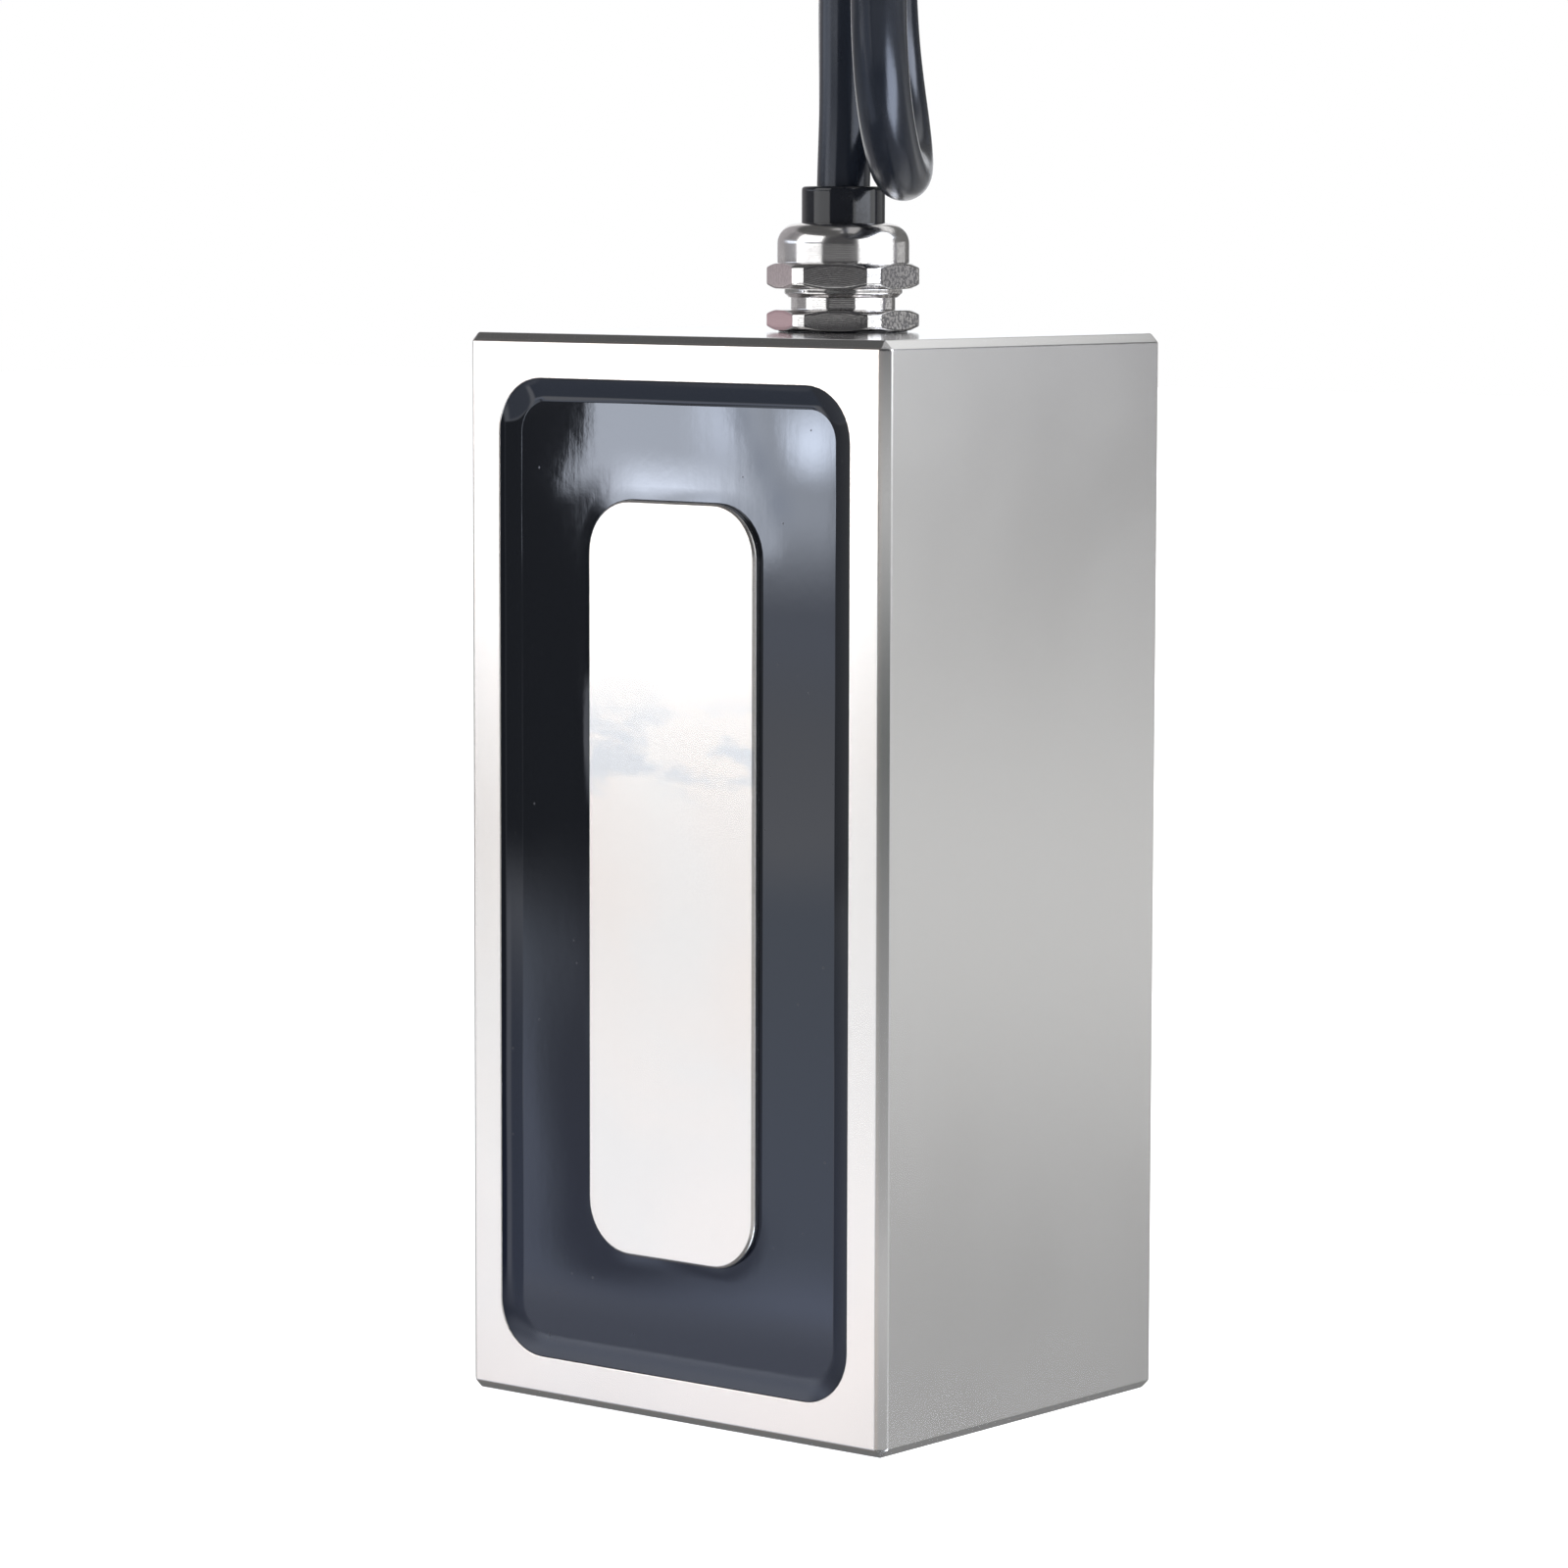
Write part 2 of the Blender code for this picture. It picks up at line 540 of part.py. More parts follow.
def make_gland(nickel, rubber, nylon):
    thread, bore = GLAND_THREAD / 2, GLAND_BORE / 2
    on_gland_axis(turned("gland_gasket", [
        (GASKET_DIAMETER / 2, GASKET_LEVEL + GASKET), (GASKET_DIAMETER / 2, GASKET_LEVEL),
        (thread + GAP, GASKET_LEVEL), (thread + GAP, GASKET_LEVEL + GASKET),
    ], rubber))

    body = gland_hexagon("gland_body", BASE_LEVEL, NECK_LEVEL, BASE_TURN, nickel)
    barrel = [(0, BODY_TOP), (thread, BODY_TOP), (thread, STUB_END), (0, STUB_END)]
    use(body, on_gland_axis(turned("gland_barrel", barrel)), "UNION")
    use(body, on_gland_axis(turned("gland_bore_cutter", [
        (0, BODY_TOP + OVERCUT), (bore, BODY_TOP + OVERCUT),
        (bore, STUB_END - OVERCUT), (0, STUB_END - OVERCUT),
    ])))

    dome = DOME_DIAMETER / 2
    mouth = SLEEVE_DIAMETER / 2 + GAP
    nut_bore = thread + GAP
    nut = gland_hexagon("gland_dome_nut", NUT_LEVEL, DOME_LEVEL, NUT_TURN, nickel)
    shoulder = arc((dome - DOME_SHOULDER, DOME_TOP - DOME_SHOULDER), DOME_SHOULDER, 90, 0, 8)
    lip = NUT_LIP_DIAMETER / 2
    inside_hexagon = NUT_LEVEL + NUT_HEX / 2
    use(nut, on_gland_axis(turned("dome_blank", [
        (0, DOME_TOP), *shoulder, (dome, inside_hexagon), (lip, inside_hexagon),
        (lip, LIP_LEVEL + NUT_LIP_CHAMFER), (lip - NUT_LIP_CHAMFER, LIP_LEVEL), (0, LIP_LEVEL),
    ])), "UNION")
    use(nut, on_gland_axis(turned("nut_bore_cutter", [
        (0, DOME_TOP + OVERCUT), (mouth, DOME_TOP + OVERCUT), (mouth, DOME_TOP - DOME_TOP_WALL),
        (nut_bore, CLAW_LEVEL), (nut_bore, LIP_LEVEL - OVERCUT), (0, LIP_LEVEL - OVERCUT),
    ])))

    inside, outside = CABLE_DIAMETER / 2 + GAP, SEAL_DIAMETER / 2
    seal_end = BODY_TOP - SEAL_BELOW
    seal = [(outside, SEAL_TOP), (outside, seal_end), (inside, seal_end), (inside, SEAL_TOP)]
    on_gland_axis(turned("gland_seal", seal, rubber))
    claw_in = outside + GAP
    taper = (nut_bore - mouth) * CLAW_HEIGHT / (DOME_TOP - DOME_TOP_WALL - CLAW_LEVEL)
    claw_out = nut_bore - GAP
    claw = on_gland_axis(turned("gland_claw", [
        (claw_out - taper, CLAW_TOP), (claw_out, CLAW_LEVEL), (claw_in, CLAW_LEVEL), (claw_in, CLAW_TOP),
    ], nylon))
    for i in range(CLAW_SLOTS):
        slot = box(
            f"claw_slot_{i}_cutter", (GLAND_THREAD + OVERCUT, CLAW_SLOT, CLAW_HEIGHT),
            (0, GLAND_BACK, CLAW_LEVEL + CLAW_HEIGHT * 0.8),
        )
        slot.rotation_euler.z = math.pi * i / CLAW_SLOTS
        use(claw, slot)


def make_sleeve(rubber):
    inside, outside = CABLE_DIAMETER / 2 + GAP, SLEEVE_DIAMETER / 2
    on_gland_axis(turned("cable_sleeve", [
        (outside, CABLE_EXIT), (outside, SLEEVE_LEVEL), (inside, SLEEVE_LEVEL), (inside, CABLE_EXIT),
    ], rubber))


def make_cable(sheath):
    route = [(0, GLAND_BACK / MM, CABLE_START / MM), *CABLE_ROUTE]
    wire("cable", smooth_line(route, CABLE_STEP / MM) * MM, CABLE_DIAMETER, sheath, 4)
    wire("cable_tail", smooth_line(TAIL_ROUTE, CABLE_STEP / MM) * MM, CABLE_DIAMETER, sheath, 4)
    outside, inside = COIL_RADIUS + CABLE_DIAMETER / 2 + GAP, COIL_RADIUS - CABLE_DIAMETER / 2 - GAP
    top = COIL_LEVEL + COIL_HEIGHT
    corner = CABLE_DIAMETER / 4
    section = (
        arc((inside + corner, top - corner), corner, 180, 90, 2)
        + arc((outside - corner, top - corner), corner, 90, 0, 2)
        + arc((outside - corner, COIL_LEVEL + corner), corner, 0, -90, 2)
        + arc((inside + corner, COIL_LEVEL + corner), corner, -90, -180, 2)
    )
    coil = turned("cable_coil", section, sheath)
    coil.location = (*COIL_CENTRE, 0)


def make_tie(nylon):
    """A flat band round the coil's section, with its square head on the outside."""
    inner_width = CABLE_DIAMETER + 4 * GAP
    inner_height = COIL_HEIGHT + 2 * GAP
    corner = CABLE_DIAMETER / 4
    outer = rounded_rectangle(inner_width + 2 * TIE_BAND, inner_height + 2 * TIE_BAND, corner + TIE_BAND)
    inner = rounded_rectangle(inner_width, inner_height, corner)
    tie = flat_piece("cable_tie", [outer, inner], -TIE_WIDTH / 2, TIE_WIDTH / 2, nylon)
    spot = Vector((math.cos(TIE_ANGLE), math.sin(TIE_ANGLE), 0)) * COIL_RADIUS
    middle = COIL_LEVEL + COIL_HEIGHT / 2
    tie.location = Vector((*COIL_CENTRE, middle)) + spot
    tie.rotation_euler = (math.pi / 2, 0, TIE_ANGLE)
    reach = COIL_RADIUS + inner_width / 2 + TIE_BAND / 2 + TIE_HEAD / 2
    head = box("tie_head_blank", (TIE_HEAD, TIE_HEAD, TIE_HEAD), (0, 0, 0))
    head.location = Vector((*COIL_CENTRE, middle)) + spot.normalized() * reach
    head.rotation_euler.z = TIE_ANGLE
    use(tie, head, "UNION")


def make_cable_end(colours, tinned):
    """Two cores leave the sheath's end, spread and come down to the ground, each with a tinned tip."""
    x, y, z = (value * MM for value in TAIL_ROUTE[-1])
    x += GAP
    low = END_CORE_WIRE / 2 + GAP
    for name, side in (("a", -1), ("b", 1)):
        near, far = side * END_CORE_SPREAD, side * (END_CORE_SPREAD + END_CORE_FAN)
        points = [
            Vector((x, y + near, z)),
            Vector((x + END_CORE_LENGTH * 0.25, y + near, z - 0.4 * MM)),
            Vector((x + END_CORE_LENGTH * 0.65, y + (near + far) / 2, low)),
            Vector((x + END_CORE_LENGTH, y + far, low)),
        ]
        line = smooth_line([tuple(point) for point in points], 2 * END_CORE_WIRE)
        wire(f"end_core_{name}", line, END_CORE_WIRE, colours[name])
        away = (points[-1] - points[-2]).normalized()
        first = points[-1] + away * GAP
        first.z = low
        wire(f"end_tip_{name}", [tuple(first), tuple(first + away * TIP_LENGTH)], TIP_WIRE, tinned)


def main():
    clear_scene()
    steel = finish_of("nickel_plated_steel", (0.78, 0.77, 0.76), 0.22, 1.0)
    zinc = finish_of("zinc_plated_screw", (0.62, 0.62, 0.63), 0.35, 1.0)
    nickel = finish_of("nickel_plated_brass", (0.74, 0.72, 0.69), 0.15, 1.0)
    resin = finish_of("black_resin", (0.012, 0.013, 0.016), 0.08)
    sheath = finish_of("black_sheath", (0.015, 0.016, 0.019), 0.25)
    rubber = finish_of("black_rubber", (0.018, 0.018, 0.018), 0.6)
    nylon = finish_of("black_nylon", (0.02, 0.02, 0.02), 0.45)
    white_nylon = finish_of("white_nylon", (0.75, 0.74, 0.7), 0.5)
    copper = finish_of("enamelled_copper", (0.62, 0.27, 0.12), 0.3, 1.0)
    tape = finish_of("polyester_tape", (0.55, 0.42, 0.08), 0.35)
    card = finish_of("insulation_card", (0.35, 0.45, 0.4), 0.7)
    red = finish_of("red_insulation", (0.5, 0.02, 0.02), 0.4)
    white = finish_of("white_insulation", (0.8, 0.8, 0.78), 0.4)
    tinned = finish_of("tinned_copper", (0.7, 0.7, 0.69), 0.3, 1.0)

    make_housing(steel)
    make_pole(steel)
    make_core_screws(zinc)
    make_coil(card, white_nylon, copper, tape)
    make_resin(resin)
    make_wires(red, white, copper, white_nylon)
    make_gland(nickel, rubber, white_nylon)
    make_sleeve(rubber)
    make_cable(sheath)
    make_tie(nylon)
    make_cable_end({"a": red, "b": white}, tinned)


main()
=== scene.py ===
import math

import bmesh
import bpy
import numpy as np
from mathutils import Matrix, Vector


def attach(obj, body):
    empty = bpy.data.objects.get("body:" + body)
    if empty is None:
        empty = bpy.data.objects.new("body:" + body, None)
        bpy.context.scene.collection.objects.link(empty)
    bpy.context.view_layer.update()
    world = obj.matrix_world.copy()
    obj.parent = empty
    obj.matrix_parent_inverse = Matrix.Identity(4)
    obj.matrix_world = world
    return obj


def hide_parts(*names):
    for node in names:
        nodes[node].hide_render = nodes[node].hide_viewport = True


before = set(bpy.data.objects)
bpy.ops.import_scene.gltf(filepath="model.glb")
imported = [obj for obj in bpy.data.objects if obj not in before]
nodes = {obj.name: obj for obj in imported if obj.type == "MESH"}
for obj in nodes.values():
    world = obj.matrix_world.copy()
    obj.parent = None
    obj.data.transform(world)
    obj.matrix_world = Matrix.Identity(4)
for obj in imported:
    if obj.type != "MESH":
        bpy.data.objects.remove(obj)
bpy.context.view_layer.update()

# The magnet stands on its plain end: +Z runs up to the cable gland, -Y is the pole face, +Y the mounting face.
mm = 0.001
tau = 2 * math.pi


def added(name, data):
    item = bpy.data.objects.new(name, data)
    bpy.context.scene.collection.objects.link(item)
    return item


# camera
cameraSettings = {
    "azimuth": 39.35, "elevation": 5.81, "roll": 0.143,  # degrees, from straight in front of the pole face
    "distance": 638.2 * mm, "lens": 129.8, "sensor": 36,
    "target": (-2.58 * mm, -2.12 * mm, 69.17 * mm),
}


def makeCamera(settings):
    a, e, r = (math.radians(settings[key]) for key in ("azimuth", "elevation", "roll"))
    back = Vector((math.sin(a) * math.cos(e), -math.cos(a) * math.cos(e), math.sin(e)))
    level = Vector((math.cos(a), math.sin(a), 0))
    upright = back.cross(level)
    right = level * math.cos(r) + upright * math.sin(r)
    up = upright * math.cos(r) - level * math.sin(r)
    camera = added("camera", bpy.data.cameras.new("camera"))
    camera.data.lens, camera.data.sensor_width = settings["lens"], settings["sensor"]
    camera.data.clip_start, camera.data.clip_end = 0.01, 20
    turn = Matrix((right, up, back)).transposed().to_4x4()
    camera.matrix_world = Matrix.Translation(Vector(settings["target"]) + back * settings["distance"]) @ turn
    bpy.context.scene.camera = camera


makeCamera(cameraSettings)
print("camera placed")


# surfaces
def circle(sides):
    return np.arange(sides) * tau / sides


def smoothStep(share):
    # 0 below 0, 1 above 1, and the cubic 3 s^2 - 2 s^3 from one to the other
    s = np.clip(share, 0, 1)
    return s * s * (3 - 2 * s)


def surface(name, points, closed=False, along=None):
    # points[i, j] is ring i at place j round it. Four-sided faces join neighbouring rings, and the last ring to the
    # first if closed, or both are capped. The UV map runs round each ring, and along the rings as along says
    rings, sides = points.shape[:2]
    order = np.arange(rings * sides).reshape(rings, sides)
    steps = np.arange(rings)
    if along is None:
        along = steps / rings
    if closed:
        order, along = np.vstack([order, order[:1]]), np.append(along, 1.0)
    low, high = order[:-1], order[1:]
    quads = np.stack([low, np.roll(low, -1, 1), np.roll(high, -1, 1), high], -1).reshape(-1, 4)
    corners = points.reshape(-1, 3)
    a, b, c, d = (corners[quads[:, k]] for k in range(4))
    volume = (a * np.cross(b, c)).sum() + (a * np.cross(c, d)).sum()
    faces = quads.tolist()
    if not closed:
        faces += [order[0][::-1].tolist(), order[-1].tolist()]
    mesh = bpy.data.meshes.new(name)
    mesh.from_pydata(corners.tolist(), [], faces)
    left = np.arange(sides) / sides
    right = left + 1 / sides
    u = np.stack([left, right, right, left], -1)
    v = np.stack([along[:-1], along[:-1], along[1:], along[1:]], -1)
    uv = np.zeros((len(mesh.loops), 2))
    uv[:quads.size, 0] = np.broadcast_to(u, (len(low), sides, 4)).ravel()
    uv[:quads.size, 1] = np.broadcast_to(v[:, None], (len(low), sides, 4)).ravel()
    mesh.uv_layers.new(name="UVMap").data.foreach_set("uv", uv.ravel())
    if volume < 0:
        mesh.flip_normals()
    mesh.shade_smooth()
    return added(name, mesh)


def flatShading(item):
    # broad faces keep their flat normal, and only the easings between them are shaded round
    weighted = item.modifiers.new("normals", "WEIGHTED_NORMAL")
    weighted.weight, weighted.keep_sharp = 100, True
    return item


def eased(corners, radii, steps=4):
    # corners[k, j] is corner k of a closed outline at place j. Each corner B between A and C is replaced by the
    # parabola (1-s)^2 P + 2 s (1-s) B + s^2 Q, where P and Q lie on its sides, a radius away or less
    before, after = np.roll(corners, 1, 0), np.roll(corners, -1, 0)
    radii = np.broadcast_to(np.asarray(radii, float).reshape(-1, 1, 1), (len(corners), 1, 1))
    s = np.linspace(0, 1, steps + 1)[:, None, None, None]

    def onSide(other):
        side = other - corners
        length = np.linalg.norm(side, axis=-1, keepdims=True) + 1e-12
        return corners + side / length * np.minimum(radii, 0.45 * length)

    bent = (1 - s) ** 2 * onSide(before) + 2 * s * (1 - s) * corners + s ** 2 * onSide(after)
    return bent.transpose(1, 0, 2, 3).reshape(-1, *corners.shape[1:])


def turned(name, corners, radii, centre, sides=128):
    # the closed outline of (radius, height), its corners eased, turned round an upright axis
    outline = eased(np.array(corners, float)[:, None] * mm, np.array(radii, float) * mm)[:, 0]
    return roundAxis(name, np.repeat(outline[:, None], sides, 1), centre)


def held(outline, reach=0.12 * mm):
    # a row near each end of every long stretch keeps its shading straight up to the edges
    rows = [outline[:1]]
    for first, last in zip(outline[:-1], outline[1:]):
        length = np.linalg.norm(last - first, axis=-1).mean()
        shares = [reach / length, 1 - reach / length, 1] if length > 4 * reach else [1]
        rows += [(first + (last - first) * share)[None] for share in shares]
    return np.concatenate(rows)


def roundAxis(name, outline, centre, angles=None):
    # outline[i, j] is (radius, height) at angle j: x = radius cos(angle), y = radius sin(angle), z = height
    outline = held(outline)
    angle = circle(outline.shape[1]) if angles is None else angles
    x = centre[0] * mm + outline[..., 0] * np.cos(angle)
    y = centre[1] * mm + outline[..., 0] * np.sin(angle)
    return flatShading(surface(name, np.stack([x, y, outline[..., 1]], -1), closed=True))


def roundedRectangle(width, height, corner, arcSteps=16, sideSteps=(24, 48)):
    # anticlockwise: a quarter circle at each corner, then evenly spaced points along the side that follows
    bend = np.linspace(0, tau / 4, arcSteps + 1)
    found = []
    for turn, (sx, sy) in enumerate([(1, 1), (-1, 1), (-1, -1), (1, -1)]):
        middle = np.array([sx * (width / 2 - corner), sy * (height / 2 - corner)])
        a = bend + turn * tau / 4
        found.append(middle + corner * np.stack([np.cos(a), np.sin(a)], -1))
    points = []
    for turn in range(4):
        first, last = found[turn][-1], found[(turn + 1) % 4][0]
        share = np.arange(1, sideSteps[turn % 2])[:, None] / sideSteps[turn % 2]
        points += [found[turn], first + (last - first) * share]
    return np.vstack(points)


tubeReference = (0.5, 0.5, 0.7071)  # a direction that no cable or wire here runs along


def tube(name, path, radius, sides=32):
    # a circle carried along the path: point + radius (cos(a) across + sin(a) over), where across and over are
    # square to the path. radius has a row for each point, of one number or of one for each angle
    gaps = np.linalg.norm(np.diff(path, axis=0), axis=1)
    along = np.append(0, np.cumsum(gaps))
    heading = np.gradient(path, along, axis=0)
    heading /= np.linalg.norm(heading, axis=1)[:, None]
    across = np.cross(heading, tubeReference)
    across /= np.linalg.norm(across, axis=1)[:, None]
    over = np.cross(heading, across)
    a = circle(sides)
    size = np.broadcast_to(radius, (len(path), sides))[..., None]
    ring = np.cos(a)[None, :, None] * across[:, None] + np.sin(a)[None, :, None] * over[:, None]
    return surface(name, path[:, None] + size * ring, along=along)


def smoothLine(route, step):
    # the natural cubic spline through the route's points, in even steps: on each span the two end points and the
    # two bends that keep the slope continuous are blended with cubic weights
    knots = np.array(route, float)
    along = np.append(0, np.cumsum(np.linalg.norm(np.diff(knots, axis=0), axis=1)))
    gaps = np.diff(along)
    count = len(knots)
    inner = np.arange(1, count - 1)
    system, right = np.eye(count), np.zeros_like(knots)
    system[inner, inner - 1], system[inner, inner + 1] = gaps[:-1], gaps[1:]
    system[inner, inner] = 2 * (gaps[:-1] + gaps[1:])
    slope = np.diff(knots, axis=0) / gaps[:, None]
    right[inner] = 6 * np.diff(slope, axis=0)
    bend = np.linalg.solve(system, right)
    at = np.linspace(0, along[-1], max(2, round(along[-1] / step) + 1))
    span = np.clip(np.searchsorted(along, at, side="right") - 1, 0, len(gaps) - 1)
    width, after = gaps[span][:, None], (at - along[span])[:, None]
    before = width - after
    return (
        (bend[span] * before ** 3 + bend[span + 1] * after ** 3) / (6 * width)
        + (knots[span] / width - bend[span] * width / 6) * before
        + (knots[span + 1] / width - bend[span + 1] * width / 6) * after
    )


def settle(item):
    # the piece's modifiers are worked into its mesh
    evaluated = item.evaluated_get(bpy.context.evaluated_depsgraph_get())
    mesh = bpy.data.meshes.new_from_object(evaluated)
    item.modifiers.clear()
    item.data = mesh
    return item


def cutBy(item, cutter):
    bpy.context.view_layer.update()
    cut = item.modifiers.new("cut", "BOOLEAN")
    cut.operation, cut.solver, cut.object = "DIFFERENCE", "EXACT", cutter
    settle(item)
    bpy.data.objects.remove(cutter)
    return item


def place(item, finish, slotName, *stoodFor):
    item.data.materials.clear()
    item.data.materials.append(finish)
    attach(item, "root")
    if stoodFor:
        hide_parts(*stoodFor)
    return item


# shader expressions
class Wire:
    # the output of a shader node: + - * ** on it add Math nodes
    def __init__(self, maker, socket):
        self.maker, self.socket = maker, socket

    def maths(self, operation, *values):
        return self.maker.node("Math", {"operation": operation}, dict(enumerate(values)))

    def __add__(self, other):
        return self.maths("ADD", self, other)

    def __sub__(self, other):
        return self.maths("SUBTRACT", self, other)

    def __rsub__(self, other):
        return self.maths("SUBTRACT", other, self)

    def __mul__(self, other):
        return self.maths("MULTIPLY", self, other)

    def __pow__(self, other):
        return self.maths("POWER", self, other)

    __radd__, __rmul__ = __add__, __mul__

    def sine(self):
        return self.maths("SINE", self)

    def most(self, other):
        return self.maths("MAXIMUM", self, other)

    def between(self, low, high):
        # 0 below low, 1 above high, and a smooth step from one to the other
        return self.maker.node("MapRange", {"interpolation_type": "SMOOTHSTEP"},
                               {"Value": self, "From Min": low, "From Max": high})


class Nodes:
    # the shader nodes of their owner, a material or the world
    def __init__(self, owner):
        owner.use_nodes = True
        self.owner, self.tree = owner, owner.node_tree

    def node(self, kind, settings=None, values=None, output=0):
        made = self.tree.nodes.new("ShaderNode" + kind)
        for key, value in (settings or {}).items():
            setattr(made, key, value)
        for key, value in (values or {}).items():
            self.join(made.inputs[key], value)
        return Wire(self, made.outputs[output])

    def join(self, socket, value):
        if isinstance(value, Wire):
            self.tree.links.new(value.socket, socket)
        elif hasattr(value, "__len__") and len(value) == 3 and socket.type == "RGBA":
            socket.default_value = (*value, 1)
        else:
            socket.default_value = value

    def parts(self, vector):
        split = self.node("SeparateXYZ", {}, {0: vector})
        return [Wire(self, socket) for socket in split.socket.node.outputs]


class Finish(Nodes):
    # a material with one Principled shader
    def __init__(self, name, **values):
        super().__init__(bpy.data.materials.new(name))
        self.shader = self.tree.nodes["Principled BSDF"]
        self.set(**values)

    def set(self, **values):
        # Base_Color=... sets or links the shader's Base Color
        for key, value in values.items():
            self.join(self.shader.inputs[key.replace("_", " ")], value)

    def inMillimetres(self, stretch=(1, 1, 1), offset=(0, 0, 0)):
        values = {"Vector": self.node("TexCoord", output="Object"), "Scale": [s / mm for s in stretch]}
        return self.node("Mapping", {}, {**values, "Location": offset})

    def uvMap(self, scale):
        return self.node("Mapping", {}, {"Vector": self.node("TexCoord", output="UV"), "Scale": scale})

    def noise(self, vector, scale, detail=3, roughness=0.5, distortion=0):
        return self.node("TexNoise", {}, {"Vector": vector, "Scale": scale, "Detail": detail,
                                          "Roughness": roughness, "Distortion": distortion})

    def cells(self, vector, scale):
        return self.node("TexVoronoi", {}, {"Vector": vector, "Scale": scale}, "Distance")

    def blend(self, share, first, second):
        # a colour between the two: first where share is 0 and second where it is 1
        return self.node("Mix", {"data_type": "RGBA"}, {0: share, 6: first, 7: second}, 2)

    def bump(self, height, depth, onto=None):
        values = {"Height": height, "Distance": depth, "Strength": 1.0}
        if onto:
            values["Normal"] = onto
        return self.node("Bump", {}, values)

    def mottled(self, share, first, second, roughness, rougher, height, depth):
        # the colour runs from first to second and the roughness rises as share does, over a bump as high as height
        self.set(Base_Color=self.blend(share, first, second), Roughness=roughness + share * rougher,
                 Normal=self.bump(height, depth * mm))
        return self.owner


def nickelSteel(name, values):
    # ground steel under satin nickel: a fine orange peel and scattered tiny dimples, cool and warm clouds on the
    # ground pole face only, and chamfers left smoother by the cutter
    finish = Finish(name, Metallic=1.0)
    at = finish.inMillimetres()
    x, y, z = finish.parts(at)
    across, deep, tall = (half - values["chamfer"] - values["soft"] for half in values["halves"])
    wide, thick, long = (part.maths("ABSOLUTE", part) for part in (x, y, z - values["halves"][2]))
    edge = across + deep + values["chamfer"]
    chamfer = (wide + thick).most(thick + long - (tall - across)).most(wide + long - (tall - deep)).between(
        edge, edge + values["soft"])
    ground = (y * -1).between(*values["ground"])
    clouds = finish.noise(at, 1 / values["cloudSize"], 3, 0.55, 0.6).between(0.36, 0.66)
    warm = finish.noise(finish.inMillimetres(offset=(40, 11, 7)), 1 / values["tintSize"], 2).between(0.42, 0.7)
    colour = finish.blend(clouds, values["cool"], values["plain"])
    colour = finish.blend(warm * values["tint"], colour, values["warm"])
    # a darker, bluer streaky band across the pole face: a reflection painted into the colour
    if "paintedReflectionBand" in values:
        low, high = values["paintedReflectionBand"]
        paintedReflectionBand = z.between(low - 3, low + 3) * (1 - z.between(high - 4, high + 4)) * ground
        paintedReflectionTint = finish.noise(finish.inMillimetres(stretch=(1, 1, 2.2)), 0.11, 3, 0.5).between(0.42, 0.62) * paintedReflectionBand
        colour = finish.blend(paintedReflectionTint, colour, values["paintedReflectionTint"])
    smooth = chamfer.most(z.between(*values["top"]))
    grain = finish.noise(at, 3.2, 5, 0.6)
    dimples = finish.cells(at, 0.55).between(0.0, 0.16)
    finish.set(Base_Color=finish.blend(ground, values["milled"], colour))
    finish.set(Roughness=values["roughness"] + ground * 0.02 + clouds * -0.02 + grain * 0.05 - smooth * 0.1)
    skin = finish.bump(grain * (ground * 0.6 + 0.4), values["grain"])
    finish.set(Normal=finish.bump(dimples * ground, values["dimple"], skin))
    return finish.owner


brass = {
    "pitted": (0.999, 0.043), "reflectsPink": (-0.463, -0.887),  # which way the two flats face
    "flat": (7.76, 7.80), "side": (5.2, 6.4),  # how far out the flat and its side of the dome lie
    "dome": (127.6, 128.4), "paler": (122.6, 123.5),  # the heights where each begins
    # the pink colour paints a reflection onto one flat
    "dull": (0.74, 0.725, 0.72), "bright": (0.82, 0.805, 0.795), "pit": (0.27, 0.27, 0.28),
    "paintedPink": (0.74, 0.53, 0.56), "roughness": 0.10, "dent": 0.0022 * mm, "ring": 0.0006 * mm,
}


def nickelBrass(name):
    # bright nickel on turned and tumbled brass: faint turning rings, dents and specks; the hexagons' flats, each
    # found by the distance along its normal, are pitted on one side, and the next but one has a pink reflection
    # painted into its colour
    finish = Finish(name, Metallic=1.0)
    at = finish.inMillimetres(offset=(0, -5, 0))
    x, y, z = finish.parts(at)
    radius = (x * x + y * y) ** 0.5
    rings = ((radius + z) * 26.0).sine() * 0.5 + 0.5
    clouds = finish.noise(at, 0.5, 4, 0.6).between(0.35, 0.7)
    dents = finish.noise(at, 2.6, 2, 0.5)
    towardsPitted, towardsReflectsPink = (x * part + y * rest for part, rest in (brass["pitted"], brass["reflectsPink"]))
    pittedFlat = towardsPitted.between(*brass["flat"])
    domed = z.between(*brass["dome"])
    worn = (towardsPitted.between(*brass["side"]) * 0.35 + 0.2) * (1 - domed * 0.7)
    pits = finish.noise(at, 2.8, 2, 0.6).between(0.46, 0.55) * worn.most(pittedFlat * 0.9)
    # one flat's colour is painted pink for a reflection, fainter on the nut above
    paintedPink = towardsReflectsPink.between(*brass["flat"]) * (1 - z.between(*brass["paler"]) * 0.65)
    colour = finish.blend(clouds, brass["dull"], brass["bright"])
    colour = finish.blend(pits, colour, brass["pit"])
    finish.set(Base_Color=finish.blend(paintedPink, colour, brass["paintedPink"]))
    finish.set(Roughness=brass["roughness"] + domed * 0.07 + clouds * -0.02 + pits * 0.12)
    finish.set(Normal=finish.bump(dents, brass["dent"], finish.bump(rings, brass["ring"])))
    return finish.owner


